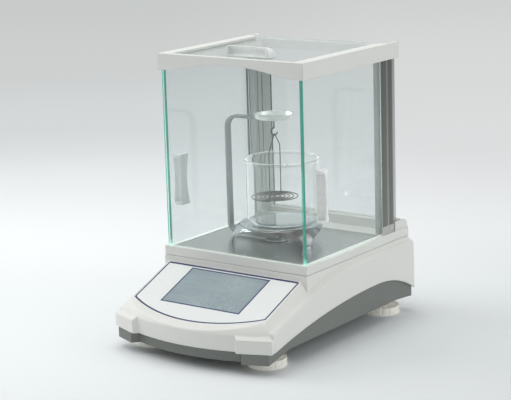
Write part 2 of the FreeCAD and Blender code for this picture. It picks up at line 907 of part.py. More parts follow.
def levelling_foot(corner, x, y):
    """A ribbed wheel with grooved edge, moulded on a steel stud."""
    wheel = new_body(corner + "_wheel")
    rim = ring(new_sketch(wheel, corner + "_rim", "XY_Plane"), "0", "0", "wheel_radius")
    pad(wheel, rim, "wheel_rim")
    disc = ring(new_sketch(wheel, corner + "_disc", "XY_Plane"), "0", "0", "wheel_radius - wheel_step")
    pad(wheel, disc, "wheel_height")
    well = new_sketch(wheel, corner + "_well", "XY_Plane", "wheel_height")
    ring(well, "0", "0", "wheel_radius - wheel_wall")
    ring(well, "0", "0", "hub_radius")
    pocket(wheel, well, "wheel_height - wheel_web")
    spoke = outline(new_sketch(wheel, corner + "_spoke", "XY_Plane", "wheel_web - past"), [
        ("hub_radius - past", "-spoke_half"), ("wheel_radius - wheel_wall + past", "-spoke_half"),
        ("wheel_radius - wheel_wall + past", "spoke_half"), ("hub_radius - past", "spoke_half")])
    rise = "wheel_height - wheel_web + past - spoke_drop"
    repeat_round(wheel, pad(wheel, spoke, rise), "wheel_lobes")
    out, half_turn = "(wheel_radius + groove_out)", "180 / wheel_lobes"
    groove = ring(new_sketch(wheel, corner + "_groove", "XY_Plane", "wheel_height"),
                  f"{out} * cos({half_turn})", f"{out} * sin({half_turn})", "groove_radius")
    repeat_round(wheel, pocket(wheel, groove, "wheel_height - wheel_rim"), "wheel_lobes")
    hole = ring(new_sketch(wheel, corner + "_hole", "XY_Plane", "wheel_height"), "0", "0", "stud_radius")
    pocket(wheel, hole, "wheel_height - wheel_floor")
    sub_part(stand(wheel, x, along(y)), corner + "_wheel")
    stud = rod(corner + "_stud", x, along(y), "wheel_floor", "stud_top", "stud_radius")
    sub_part(stud, corner + "_stud")


# ---------------------------------------------------------------- chamber deck and floor

def front_pane_slot(name, low, high):
    """The room for the front pane in the deck or the top frame."""
    across = mirror_pair("front_pane_half + fixed_pane_gap")
    start = along("front_pane_in - fixed_pane_gap")
    end = along("front_pane_in + pane_thickness + fixed_pane_gap")
    return block(name, across, (start, end), (low, high))


def chamber_deck():
    deck = block("deck_blank", mirror_pair("deck_half"), (along("0"), along("deck_depth")),
                 ("deck_low", "deck_top"))
    hump = block("hump_blank", mirror_pair("hump_half"),
                 (along("hump_front_in"), along("deck_depth")), ("deck_low", "hump_top"))
    top, rear = size("hump_top"), size(along("deck_depth"))

    def rear_top(edge):
        return all(abs(v.Z - top) < 0.01 and abs(v.Y - rear) < 0.01 for v in edge.Vertexes)

    hump = rounded("hump", hump, "hump_round", rear_top)
    whole = join("deck_joined", [deck, hump])
    dip = "(((lip_rear_in - lip_front_in) / 2) ^ 2 + lip_dip ^ 2) / (2 * lip_dip)"
    middle = along("(lip_rear_in + lip_front_in) / 2")
    well_low = "deck_top - floor_sink - floor_thickness"
    above = "hump_top + past"
    removed = [
        block("deck_well", mirror_pair("floor_half"), (along("floor_front_in"), along("floor_rear_in")),
              (well_low, above)),
        block("deck_under", mirror_pair("under_half"), (along("under_front_in"), along("under_rear_in")),
              ("deck_low - past", f"{well_low} - deck_skin")),
        rod("deck_hole", "0", along("pan_in"), "deck_low - past", "deck_top + past", "post_hole"),
        front_pane_slot("front_slot", "pane_foot", above),
        block("rear_slot", mirror_pair("rear_pane_half"),
              (along("rear_pane_in"), along("rear_pane_in + pane_thickness")), ("rear_pane_low", above)),
    ]
    sides = [
        ("slot_inner", "slot_outer", "door_front_in - pane_gap", "deck_depth + past",
         "pane_foot - pane_gap", above),
        ("post_inner", "slot_outer", "post_front_in", "post_rear_in", "deck_top", above),
        ("slot_inner", "guide_outer", "post_front_in", "post_rear_in", "deck_top", above),
    ]
    for n, (inner, outer, start, end, low, high) in enumerate(sides):
        right = block(f"deck_side_{n}", (inner, outer), (along(start), along(end)), (low, high))
        removed += [right, mirrored(f"deck_side_left_{n}", right)]
    dish = doc.addObject("Part::Cylinder", "lip_dip_cylinder")
    dish.setExpression("Radius", bind(dip))
    dish.setExpression("Height", bind("deck_half - slot_outer + past"))
    dish.Placement.Rotation = FreeCAD.Rotation(FreeCAD.Vector(0, 1, 0), 90)
    for axis, place in zip("xyz", ("slot_outer", middle, f"deck_top - lip_dip + {dip}")):
        dish.setExpression(f"Placement.Base.{axis}", bind(place))
    reach = block("lip_dip_reach", ("slot_outer", "deck_half + past"),
                  (along("lip_front_in"), along("lip_rear_in")), ("deck_low", above))
    lip = common("lip_dip_right", dish, reach)
    removed += [lip, mirrored("lip_dip_left", lip)]
    seam = ("deck_low - past", "deck_low + seam_height")
    rim = block("seam_rim", mirror_pair("deck_half + past"),
                (along("-past"), along("deck_depth + past")), seam)
    core = block("seam_core", mirror_pair("deck_half - seam_depth"),
                 (along("seam_depth"), along("deck_depth - seam_depth")), seam)
    removed.append(cut("deck_seam", rim, core))
    sub_part(cut("chamber_deck", whole, join("deck_removed", removed)), "chamber_deck")


def chamber_floor():
    top = "deck_top - floor_sink"
    plate = block("floor_blank", mirror_pair("floor_half - floor_play"),
                  (along("floor_front_in + floor_play"), along("floor_rear_in - floor_play")),
                  (f"{top} - floor_thickness", top))
    screw_x, screw_y = "floor_screw_x", along("floor_screw_in")
    low, high = f"{top} - floor_thickness", f"{top} + floor_screw_rise"
    holes = join("floor_holes", [
        rod("floor_middle_hole", "0", along("pan_in"), "deck_low", "deck_top", "floor_hole"),
        rod("floor_screw_hole", screw_x, screw_y, "deck_low", "deck_top", "floor_screw_shank")])
    sub_part(cut("floor_plate", plate, holes), "floor_plate")
    shank = rod("floor_screw_shaft", screw_x, screw_y, low, top, "floor_screw_shank")
    head = rod("floor_screw_cap", screw_x, screw_y, top, high, "floor_screw_head")
    drive = rod("floor_screw_drive", screw_x, screw_y, top, f"{high} + past", "screw_drive")
    sub_part(cut("floor_screw", join("floor_screw_blank", [shank, head]), drive), "floor_screw")


# ---------------------------------------------------------------- posts, panes and top frame

def posts():
    back = along("post_rear_in")
    front = along("post_front_in")
    pane_front, pane_back = along("rear_pane_in"), along("rear_pane_in + pane_thickness")
    plan = [
        ("post_inner", front), ("slot_inner", front), ("slot_inner", back), ("post_inner", back),
        ("post_inner", pane_back), ("post_inner + post_groove", pane_back),
        ("post_inner + post_groove", pane_front), ("post_inner", pane_front),
    ]
    foot_height, height = "post_foot_top - deck_top", "frame_low - post_foot_top"
    right_foot = prism("right_post_foot", "XY_Plane", plan, "deck_top", foot_height)
    right_post = prism("right_post", "XY_Plane", plan, "post_foot_top", height)
    inside = outline(new_sketch(right_post, "post_hollow", "XY_Plane", "post_foot_top"), [
        ("post_inner + post_wall", f"{front} + post_wall"),
        ("slot_inner - post_wall", f"{front} + post_wall"),
        ("slot_inner - post_wall", along("rear_pane_in - post_wall")),
        ("post_inner + post_wall", along("rear_pane_in - post_wall"))])
    pocket(right_post, inside)
    for n in range(3):
        start = f"{front} + post_ribs_in + {n} * post_rib_pitch"
        end = f"{start} + rib_width"
        rib = outline(new_sketch(right_post, f"post_rib_{n}", "XY_Plane", "post_foot_top"), [
            ("post_inner - past", start), ("post_inner + rib_depth", start),
            ("post_inner + rib_depth", end), ("post_inner - past", end)])
        pocket(right_post, rib)
    groove_front = along("guide_front_in + guide_groove_in")
    groove_back = f"{groove_front} + guide_groove"
    inner = "guide_outer - guide_groove_depth"
    guide_plan = [
        ("slot_outer", along("guide_front_in")), ("guide_outer", along("guide_front_in")),
        ("guide_outer", groove_front), (inner, f"{groove_front} + guide_groove_depth"),
        (inner, f"{groove_back} - guide_groove_depth"), ("guide_outer", groove_back),
        ("guide_outer", along("guide_rear_in")), ("slot_outer", along("guide_rear_in")),
    ]
    guide_foot = prism("right_guide_foot", "XY_Plane", guide_plan, "deck_top", foot_height)
    guide = prism("right_guide", "XY_Plane", guide_plan, "post_foot_top", height)
    for item, name in ((right_foot, "post_foot"), (right_post, "post"), (guide_foot, "guide_foot"),
                       (guide, "guide")):
        sub_part(item, "right_" + name)
        sub_part(mirrored("left_" + name, item), "left_" + name)


def panes():
    sub_part(block("front_glass", mirror_pair("front_pane_half"),
                   (along("front_pane_in"), along("front_pane_in + pane_thickness")),
                   ("pane_foot", "front_pane_top")), "front_glass")
    sub_part(block("rear_glass", mirror_pair("rear_pane_half"),
                   (along("rear_pane_in"), along("rear_pane_in + pane_thickness")),
                   ("rear_pane_low", "rear_pane_top")), "rear_glass")


def top_frame():
    frame = new_body("top_frame_body")
    front, rear = along("frame_front_in"), along("frame_rear_in")
    plan = [("-frame_half", front), ("frame_half", front), ("frame_half", rear), ("-frame_half", rear)]
    pad(frame, outline(new_sketch(frame, "frame_plan", "XY_Plane", "frame_low"), plan),
        "frame_top - frame_low")
    opening = [("-rail_inner", along("frame_bar_in")), ("rail_inner", along("frame_bar_in")),
               ("rail_inner", along("crossbar_in")), ("-rail_inner", along("crossbar_in"))]
    above = "frame_top + past"
    pocket(frame, outline(new_sketch(frame, "frame_opening", "XY_Plane", above), opening))
    step = [("-rail_inner", along("frame_bar_in")), ("rail_inner", along("frame_bar_in")),
            ("rail_inner", along("rail_step_in")), ("rail_thin", along("rail_step_end_in")),
            ("rail_thin", along("frame_rear_in + past")), ("-rail_thin", along("frame_rear_in + past")),
            ("-rail_thin", along("rail_step_end_in")), ("-rail_inner", along("rail_step_in"))]
    pocket(frame, outline(new_sketch(frame, "frame_step", "XY_Plane", above), step),
           f"{above} - roof_low + pane_gap")
    turn = "frame_low + bar_turn_rise"
    ogee = [
        ("-bar_foot", "frame_low - past"),
        ("bar_foot", "frame_low - past"),
        ("bar_foot", "frame_low", "-bar_foot_radius"),
        ("bar_turn", turn, "bar_radius"),
        ("-bar_turn", turn, "-bar_foot_radius"),
        ("-bar_foot", "frame_low"),
    ]
    sketch = outline(new_sketch(frame, "frame_ogee", "XZ_Plane", f"-({front} - past)"), ogee)
    pocket(frame, sketch, "frame_bar_in - frame_front_in + past")
    slots = [
        block("roof_groove", mirror_pair("roof_half + pane_gap"),
              (along("roof_front_in - pane_gap"), along("frame_rear_in + past")),
              ("roof_low - pane_gap", "roof_low + roof_thickness + pane_gap")),
        front_pane_slot("front_groove", "frame_low - past", "front_pane_top + pane_gap"),
    ]
    right = block("door_groove", ("slot_inner", "slot_outer"),
                  (along("door_front_in - pane_gap"), along("frame_rear_in + past")),
                  ("frame_low - past", "door_top + pane_gap"))
    slots += [right, mirrored("door_groove_left", right)]
    sub_part(cut("top_frame", frame, join("frame_slots", slots)), "top_frame")


# ---------------------------------------------------------------- sliding panes

def grip(name, turn, x, y, z):
    """A finger grip: a waisted bar with rounded ends and a scoop in its front."""
    bar = new_body(name + "_bar")

    def profile(station, waist, recess):
        plane = f"{station} * grip_length / 2"
        sketch = new_sketch(bar, f"{name}_profile_{station + 1}", "YZ_Plane", plane)
        return outline(sketch, [("0", "0"), (f"grip_depth - {waist}", "0", "grip_round"),
                                ("grip_lip", "grip_height"), (recess, "grip_height")])

    loft(bar, [profile(-1, "0", "0"), profile(0, "grip_waist", "grip_recess"),
               profile(1, "0", "0")], False)
    scoop = ring(new_sketch(bar, name + "_scoop", "YZ_Plane"), "0", "scoop_middle", "scoop_radius")
    pocket(bar, scoop, "grip_length - 2 * grip_wall", True)
    end, shoulder = "grip_length / 2", "grip_height - grip_end_round"
    room = prism(name + "_room", "XZ_Plane", [
        (f"-{end}", "0"), (end, "0"), (end, shoulder, "grip_end_round"),
        (f"{end} - grip_end_round", "grip_height"),
        (f"grip_end_round - {end}", "grip_height", "grip_end_round"), (f"-{end}", shoulder),
    ], None, "2 * grip_depth + past", True)
    whole = common(name, bar, room)
    whole.Placement.Rotation = turn
    return stand(whole, x, y, z)


def doors():
    upright = FreeCAD.Rotation(FreeCAD.Vector(0, 1, 0), -90)
    pane = block("left_door_glass", ("-door_inner - door_thickness", "-door_inner"),
                 (along("door_front_in"), along("door_rear_in")), ("pane_foot", "door_top"))
    left = grip("left_door_grip", upright, "-door_inner - door_thickness",
                along("side_grip_front_in"), "side_grip_middle")
    sub_part(pane, "left_door_glass")
    sub_part(left, "left_door_grip")
    sub_part(mirrored("right_door_glass", pane), "right_door_glass")
    sub_part(mirrored("right_door_grip", left), "right_door_grip")
    sub_part(block("roof_glass", mirror_pair("roof_half"),
                   (along("roof_front_in"), along("roof_rear_in")),
                   ("roof_low", "roof_low + roof_thickness")), "roof_glass")
    sub_part(grip("roof_grip", FreeCAD.Rotation(), "0", along("roof_grip_front_in"),
                  "roof_low + roof_thickness"), "roof_grip")


# ---------------------------------------------------------------- weighing kit

def place(x, inner, z):
    return FreeCAD.Vector(size(x), size(along(inner)), size(z))


def hanger():
    """The support disc, the bent strip above it and the hook under its upper end."""
    sub_part(rod("hanger_disc", "0", along("pan_in"), "disc_low", "disc_low + disc_thickness",
                 "disc_radius"), "hanger_disc")
    level = "disc_low + disc_thickness + strip_thickness / 2"
    high = "strip_top - strip_thickness / 2"
    away = "-strip_reach + strip_thickness / 2"
    points = [place("strip_width / 2", "pan_in", level), place(away, "pan_in", level),
              place(away, "pan_in", high), place("strip_width / 2", "pan_in", high)]
    half_wide = FreeCAD.Vector(0, size("strip_width") / 2, 0)
    half_thick = FreeCAD.Vector(0, 0, size("strip_thickness") / 2)
    corners = [points[0] + half_wide * a + half_thick * b for a, b in ((1, 1), (-1, 1), (-1, -1), (1, -1))]
    profile = Part.makePolygon(corners + corners[:1])
    path = bent_path(points, (size("strip_low_bend"), size("strip_high_bend")))
    sub_part(swept("hanger_strip", path, profile), "hanger_strip")
    middle, radius = place("0", "pan_in", "hook_middle"), size("hook_radius")
    top = middle + FreeCAD.Vector(0, 0, radius)
    left = middle - FreeCAD.Vector(radius, 0, 0)
    bottom = middle - FreeCAD.Vector(0, 0, radius)
    lower_right = middle + FreeCAD.Vector(radius, 0, -radius) * math.sqrt(0.5)
    right = middle + FreeCAD.Vector(radius, 0, 0)
    path = [Part.Arc(top, left, bottom).toShape(), Part.Arc(bottom, lower_right, right).toShape()]
    profile = round_profile(top, FreeCAD.Vector(-1, 0, 0), size("hook_wire"))
    curl = swept("hook_curl", path, profile)
    crown = "hook_middle + hook_radius"
    shank = rod("hook_shank", "0", along("pan_in"), crown, "strip_top - strip_thickness", "hook_wire")
    elbow = doc.addObject("Part::Sphere", "hook_elbow")
    elbow.setExpression("Radius", bind("hook_wire"))
    for axis, spot in zip("xyz", ("0", along("pan_in"), crown)):
        elbow.setExpression(f"Placement.Base.{axis}", bind(spot))
    sub_part(join("hook", [shank, elbow, curl]), "hanger_hook")


def sample_dish():
    dish = new_body("dish_body")
    flat = "dish_radius - dish_flare"
    revolve(dish, outline(new_sketch(dish, "dish_profile", "XZ_Plane"), [
        ("0", "0"), (flat, "0"), ("dish_radius", "dish_height"),
        ("dish_radius - dish_rim", "dish_height"), (f"{flat} - dish_turn", "dish_wall"),
        ("0", "dish_wall")]))
    sub_part(stand(dish, "0", along("pan_in"), "strip_top + kit_gap"), "sample_dish")


def basket():
    """A flat spiral of wire, hung on the hook by a wire bail."""
    growth = "(basket_radius - spiral_start) / basket_turns"
    spiral = doc.addObject("Part::Spiral", "basket_line")
    spiral.setExpression("Growth", bind(growth))
    spiral.setExpression("Rotations", bind("basket_turns"))
    spiral.setExpression("Radius", bind("spiral_start"))
    doc.recompute()
    line = spiral.Shape
    first = line.Edges[0]
    start, direction = first.valueAt(first.FirstParameter), first.tangentAt(first.FirstParameter)
    profile = round_profile(start, direction, size("basket_wire"))
    coil = doc.addObject("Part::Feature", "basket_coil")
    coil.Shape = Part.Wire(line.Edges).makePipeShell([profile], True, False)
    coil.Placement = FreeCAD.Placement(place("0", "pan_in", "basket_height"),
                                       FreeCAD.Rotation(FreeCAD.Vector(0, 0, 1), size("bail_turn")))
    sub_part(coil, "basket_coil")
    turn = math.radians(size("bail_turn"))
    sideways = FreeCAD.Vector(math.cos(turn), math.sin(turn), 0)
    outer = size("basket_radius") - size("basket_wire")
    inner = outer - size(growth) / 2
    foot, shoulder = size("basket_height + basket_wire"), size("bail_shoulder")
    peak = size("hook_middle - hook_radius + hook_wire + bail_wire + bail_play")
    middle = place("0", "pan_in", "0")
    points = [middle - sideways * outer + FreeCAD.Vector(0, 0, foot),
              middle - sideways * outer + FreeCAD.Vector(0, 0, shoulder),
              middle + FreeCAD.Vector(0, 0, peak),
              middle + sideways * inner + FreeCAD.Vector(0, 0, shoulder),
              middle + sideways * inner + FreeCAD.Vector(0, 0, foot)]
    path = bent_path(points, (size("bail_bend"), size("bail_peak_bend"), size("bail_bend")))
    profile = round_profile(points[0], FreeCAD.Vector(0, 0, 1), size("bail_wire"))
    item = doc.addObject("Part::Feature", "basket_bail")
    item.Shape = Part.Wire(path).makePipeShell([profile], True, False)
    sub_part(item, "basket_bail")


def beaker_stand():
    """A polished sheet dome with a flat top, cut by three arches into pointed legs."""
    body = new_body("stand_body")
    centre, curve, bend, sheet_in = "(stand_reach - stand_curve)", "stand_curve", "stand_bend", "stand_sheet"
    rise = f"(stand_height - {bend})"
    flat = f"({centre} + sqrt(({curve} - {bend}) ^ 2 - {rise} ^ 2))"
    share = f"(({flat} - {centre}) / ({curve} - {bend}))"
    lift = f"({rise} / ({curve} - {bend}))"
    inner = f"({curve} - {sheet_in})"
    revolve(body, outline(new_sketch(body, "stand_profile", "XZ_Plane"), [
        ("0", f"stand_height - {sheet_in}"),
        (flat, f"stand_height - {sheet_in}", f"-({bend} - {sheet_in})"),
        (f"{centre} + {inner} * {share}", f"{inner} * {lift}", f"-{inner}"),
        (f"stand_reach - {sheet_in}", "0"),
        ("stand_reach", "0", curve),
        (f"{centre} + {curve} * {share}", f"{curve} * {lift}", bend),
        (flat, "stand_height"),
        ("0", "stand_height"),
    ]))
    side = "(arch_half - arch_side)"
    crown = f"(({side} ^ 2 + arch_height ^ 2 - arch_side ^ 2) / (2 * (arch_height - arch_side)))"
    turn = f"(arch_side / ({crown} - arch_side))"
    across = f"({side} + {side} * {turn})"
    up = f"(({crown} - arch_height) * {turn})"
    arch = outline(new_sketch(body, "stand_arch", "YZ_Plane", "-stand_bend * 4"), [
        ("-arch_half", "-past"),
        ("arch_half", "-past"),
        ("arch_half", "0", "arch_side"),
        (across, up, crown),
        (f"-{across}", up, "arch_side"),
        ("-arch_half", "0"),
    ])
    repeat_round(body, pocket(body, arch), "3")
    body.Placement.Rotation = FreeCAD.Rotation(FreeCAD.Vector(0, 0, 1), size("stand_turn"))
    sub_part(stand(body, "stand_x", along("stand_in"), "stand_low"), "beaker_stand")


def beaker():
    body = new_body("beaker_body")
    height = "(beaker_top - stand_low - stand_height - kit_gap)"
    inner = "beaker_radius - beaker_wall"
    corner = "beaker_corner"
    lip = "beaker_radius + beaker_lip"
    revolve(body, outline(new_sketch(body, "beaker_profile", "XZ_Plane"), [
        ("0", "0"), (f"beaker_radius - {corner}", "0", corner), ("beaker_radius", corner),
        ("beaker_radius", f"{height} - beaker_flare"), (lip, f"{height} - lip_height"),
        (f"{lip} - lip_round", height), (f"{inner} + lip_round", height),
        (inner, f"{height} - flare_inside"), (inner, corner, f"beaker_wall - {corner}"),
        (f"beaker_radius - {corner}", "beaker_wall"), ("0", "beaker_wall")]))
    sub_part(stand(body, "beaker_x", along("beaker_in"), "stand_low + stand_height + kit_gap"),
             "beaker")


# ---------------------------------------------------------------- weigh cell, boards and sockets

def weigh_cell():
    pan = along("pan_in")
    floor = "casing_floor + casing_wall"
    sub_part(block("cell_base", mirror_pair("cell_half"), (along("cell_front_in"), along("cell_rear_in")),
                   (floor, "cell_base_top")), "cell_base")
    front, back = along("pan_in - cell_front"), along("cell_block_rear_in - cell_window_in")
    low, high = "cell_base_top", "cell_block_top"
    blank = block("cell_blank", mirror_pair("cell_block_half"),
                  (front, along("cell_block_rear_in")), (low, high))
    wide = mirror_pair("cell_block_half + past")
    slots = join("cell_slots", [
        block("cell_slot_low", wide, (f"{front} - past", back),
              (f"{low} + cell_skin", f"{low} + cell_skin + cell_slot")),
        block("cell_slot_high", wide, (along("pan_in + cell_slot_in"), back),
              (f"{high} - cell_skin - cell_slot", f"{high} - cell_skin")),
        block("cell_window", wide, (along("pan_in + cell_window_in"), back),
              (f"{low} + cell_core", f"{high} - cell_core"))])
    sub_part(cut("weigh_block", blank, slots), "weigh_block")
    sub_part(rod("pan_carrier", "0", pan, high, "disc_low - kit_gap", "carrier_radius"), "pan_carrier")
    magnet = along("magnet_in")
    pot = rod("magnet_blank", "0", magnet, "cell_base_top", "magnet_top", "magnet_radius")
    groove = cut("magnet_groove",
                 rod("groove_outer", "0", magnet, "coil_low - coil_floor", "magnet_top + past",
                     "coil_outer + coil_gap"),
                 rod("groove_inner", "0", magnet, "coil_low - coil_floor", "magnet_top + past",
                     "coil_inner - coil_gap"))
    sub_part(cut("magnet_pot", pot, groove), "magnet_pot")
    sub_part(cut("force_coil", rod("coil_blank", "0", magnet, "coil_low", "lever_low", "coil_outer"),
                 rod("coil_hole", "0", magnet, "coil_low - past", "lever_low + past", "coil_inner")),
             "force_coil")
    sub_part(block("cell_lever", mirror_pair("lever_half"),
                   (along("cell_block_rear_in"), along("magnet_in + coil_outer")),
                   ("lever_low", "lever_top")), "cell_lever")


def boards():
    floor = "casing_floor + casing_wall"
    across = ("board_inner", "board_outer")
    back = ("board_front_in", "board_rear_in")
    sub_part(block("main_board", across, tuple(along(inner) for inner in back),
                   ("board_low", "board_low + board_thickness")), "main_board")
    signs = ("spacer_inset", "-spacer_inset")
    spacers = [rod(f"spacer_{x}_{y}", f"{x} + {dx}", along(f"{y} + {dy}"), floor, "board_low",
                   "spacer_radius")
               for x, dx in zip(across, signs) for y, dy in zip(back, signs)]
    sub_part(group("board_spacers", spacers), "board_spacers")


def sockets():
    barrel = rod_back("inlet_blank", "inlet_x", "inlet_radius")
    proud = along("housing_rear_in + socket_proud")
    reach = (along("housing_rear_in - socket_reach"), proud)
    keep = block("inlet_keep", ("inlet_x - inlet_radius - past", "inlet_x + inlet_radius + past"), reach,
                 ("socket_low", "socket_low + socket_height"))
    inlet = common("inlet_barrel", barrel, keep)
    hole = rod_back("inlet_mouth", "inlet_x", "inlet_bore")
    hole.setExpression("Placement.Base.y",
                       bind(along("housing_rear_in - socket_reach + inlet_floor")))
    sub_part(cut("power_inlet", inlet, hole), "power_inlet")
    shell = block("serial_blank", ("serial_x - serial_half", "serial_x + serial_half"), reach,
                  ("socket_low", "socket_low + socket_height"))
    half = "(serial_half - serial_rim)"
    mouth = block("serial_mouth", (f"serial_x - {half}", f"serial_x + {half}"),
                  (along("housing_rear_in - serial_depth"), f"{proud} + past"),
                  ("socket_low + serial_lip", "socket_low + socket_height - serial_lip"))
    sub_part(cut("serial_port", shell, mouth), "serial_port")


# ---------------------------------------------------------------- build and write

upper_housing()
lower_casing()
casing_screws()
foot_inserts()
for corner, x, y in foot_places():
    levelling_foot(corner, x, y)
display()
chamber_deck()
chamber_floor()
posts()
panes()
top_frame()
doors()
hanger()
sample_dish()
basket()
beaker_stand()
beaker()
weigh_cell()
boards()
sockets()
doc.recompute()

for item in doc.Objects:
    if "Invalid" in item.State or "Error" in item.State:
        raise RuntimeError(f"{item.Name} ({item.Label}) did not build: {item.State}")
os.makedirs("parts", exist_ok=True)
for item in SUB_PARTS:
    if item.Shape.isNull() or not item.Shape.isValid() or not item.Shape.Solids:
        raise RuntimeError(f"{item.Label} has no valid shape")
    item.Shape.exportStep(f"parts/{item.Label}.step")
    box = item.Shape.optimalBoundingBox()
    print(f"{item.Label:18s} {item.Shape.Volume / 1000:9.3f} cm3  x {box.XMin:8.2f} {box.XMax:8.2f}"
          f"  y {box.YMin:8.2f} {box.YMax:8.2f}  z {box.ZMin:8.2f} {box.ZMax:8.2f}")
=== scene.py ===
"""Finishes, soft light, pale floor and camera for the analytical balance.

Metres throughout: +Z up, +Y from the display to the rear wall, +X to the user's right.
"""
import bpy
import json
import math
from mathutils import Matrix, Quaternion, Vector


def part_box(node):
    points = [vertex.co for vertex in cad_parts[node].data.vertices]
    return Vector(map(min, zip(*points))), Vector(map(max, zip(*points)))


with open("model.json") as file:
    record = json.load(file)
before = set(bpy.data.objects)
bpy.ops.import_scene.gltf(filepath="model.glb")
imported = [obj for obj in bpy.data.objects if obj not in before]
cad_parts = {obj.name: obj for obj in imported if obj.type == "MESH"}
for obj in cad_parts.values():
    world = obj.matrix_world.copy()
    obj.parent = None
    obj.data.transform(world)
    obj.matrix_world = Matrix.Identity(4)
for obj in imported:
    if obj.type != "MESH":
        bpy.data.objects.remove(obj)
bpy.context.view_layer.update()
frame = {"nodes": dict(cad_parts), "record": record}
nodes = frame["nodes"]

MM = 0.001
# slope of the console that carries the film and the screen
PANEL_SLOPE = math.radians(21.57)
# the balance is seen from this far round its front, towards its right side
VIEW_TURN = math.radians(36.3)
FLOOR_WIDTH = 30.0

# widths of the lines printed on the film: round its rim, along its upper edge, round its window
RIM_LINE = 1.7 * MM
TOP_LINE = 2.6 * MM
WINDOW_LINE = 1.9 * MM
# the printed lines end softly over this width
PRINT_BLUR = 0.15 * MM
# a point this close to a face or an end counts as on it
SLACK = 0.5 * MM

BLACK = (0.0, 0.0, 0.0)
DUST = (0.72, 0.72, 0.70)
# painted teal glow at the cut edges round the chamber's front, standing in for light that the panes gather
# and let out there
EDGE_GLOW = (0.012, 0.24, 0.175)
# the weaker painted glow at every other cut edge
SIDE_GLOW = (0.018, 0.075, 0.062)
# painted pale glow in the feet of the panes, standing in for light of the white deck
FOOT_GLOW = (0.145, 0.165, 0.152)
# the front glow fades out between these depths behind the front of the deck
FRONT_FADE = (7.0 * MM, 12.0 * MM)
# the foot glow fades out between these heights above the floor plate
FOOT_FADE = (1.2 * MM, 2.0 * MM)
# the painted glow at the beaker's lip begins and is full at these depths below its mouth
LIP_FADE = (1.0 * MM, 0.4 * MM)


# ---------------------------------------------------------------- node tools

class Board:
    """A node tree with short ways to add nodes, feed sockets and do sums."""

    def __init__(self, tree):
        self.tree = tree

    def add(self, kind, feeds=None, **settings):
        """A new node with its settings, and its sockets fed by name or number."""
        node = self.tree.nodes.new(kind)
        for name, value in settings.items():
            setattr(node, name, value)
        for socket, value in (feeds or {}).items():
            self.feed(node.inputs[socket], value)
        return node

    def feed(self, socket, value):
        """Links the socket to another or to a node's first output, or gives it a plain value."""
        if isinstance(value, bpy.types.NodeSocket):
            self.tree.links.new(value, socket)
        elif isinstance(value, bpy.types.Node):
            self.tree.links.new(value.outputs[0], socket)
        else:
            socket.default_value = value

    def sum(self, operation, first, second=0.0, third=None):
        """The result of one operation on two or three numbers."""
        node = self.add("ShaderNodeMath", {0: first, 1: second}, operation=operation)
        if third is not None:
            self.feed(node.inputs[2], third)
        return node.outputs[0]

    def ramp(self, value, stops):
        """A smooth colour ramp through (place, colour) stops."""
        node = self.add("ShaderNodeValToRGB", {"Fac": value})
        node.color_ramp.interpolation = "EASE"
        elements = node.color_ramp.elements
        while len(elements) < len(stops):
            elements.new(0.5)
        for element, (place, colour) in zip(elements, stops):
            element.position = place
            element.color = rgba(colour)
        return node.outputs["Color"]

    def blend(self, share, first, second, mode="MIX"):
        """A mix of two colours, all first at share 0 and all second at share 1."""
        node = self.add("ShaderNodeMix", data_type="RGBA", blend_type=mode)
        self.feed(node.inputs["Factor"], share)
        for socket, value in ((node.inputs[6], first), (node.inputs[7], second)):
            self.feed(socket, value if isinstance(value, bpy.types.NodeSocket) else rgba(value))
        return node.outputs[2]

    def spread(self, value, low, high, from_low=0.0, from_high=1.0):
        """The value, with its run from from_low to from_high laid over low to high."""
        node = self.add("ShaderNodeMapRange", {"Value": value, "From Min": from_low,
                                               "From Max": from_high, "To Min": low, "To Max": high})
        return node.outputs["Result"]

    def spot(self):
        """The point on the piece, in metres, as its X, Y and Z."""
        here = self.add("ShaderNodeTexCoord").outputs["Object"]
        return self.add("ShaderNodeSeparateXYZ", {0: here}).outputs

    def place(self, stretch=(1, 1, 1)):
        """The point on the piece, in metres, stretched along each axis."""
        here = self.add("ShaderNodeTexCoord").outputs["Object"]
        return self.add("ShaderNodeMapping", {"Vector": here, "Scale": stretch}).outputs[0]

    def facing(self, axis):
        """How squarely the piece's own surface looks along an axis, from -1 to 1."""
        normal = self.add("ShaderNodeTexCoord").outputs["Normal"]
        return self.add("ShaderNodeSeparateXYZ", {0: normal}).outputs[axis]

    def surface_output(self):
        """The node that takes the finished surface."""
        return next(node for node in self.tree.nodes if node.type == "OUTPUT_MATERIAL")

    def speckle(self, where, scale, detail=3.0, roughness=0.5):
        """Cloudy noise from 0 to 1."""
        node = self.add("ShaderNodeTexNoise", {"Vector": where, "Scale": scale, "Detail": detail,
                                               "Roughness": roughness})
        return node.outputs["Fac"]


def rgba(colour):
    """A colour of three parts, or a single grey, made fully opaque."""
    if isinstance(colour, (int, float)):
        colour = (colour,) * 3
    return (*colour, 1.0)


def shader_group(name, inputs, outputs):
    """An empty node group with named number inputs, and outputs given as name and kind."""
    tree = bpy.data.node_groups.new(name, "ShaderNodeTree")
    for label, value in inputs:
        kind = "NodeSocketVector" if isinstance(value, tuple) else "NodeSocketFloat"
        socket = tree.interface.new_socket(label, in_out="INPUT", socket_type=kind)
        socket.default_value = value
    for label, kind in outputs:
        tree.interface.new_socket(label, in_out="OUTPUT", socket_type="NodeSocket" + kind)
    board = Board(tree)
    return board, board.add("NodeGroupInput").outputs, board.add("NodeGroupOutput").inputs


def use(board, group, **values):
    """Places a shader group and returns its outputs."""
    node = board.add("ShaderNodeGroup", node_tree=bpy.data.node_groups[group])
    for label, value in values.items():
        board.feed(node.inputs[label.replace("_", " ")], value)
    return node.outputs


# ---------------------------------------------------------------- effects shared by the finishes

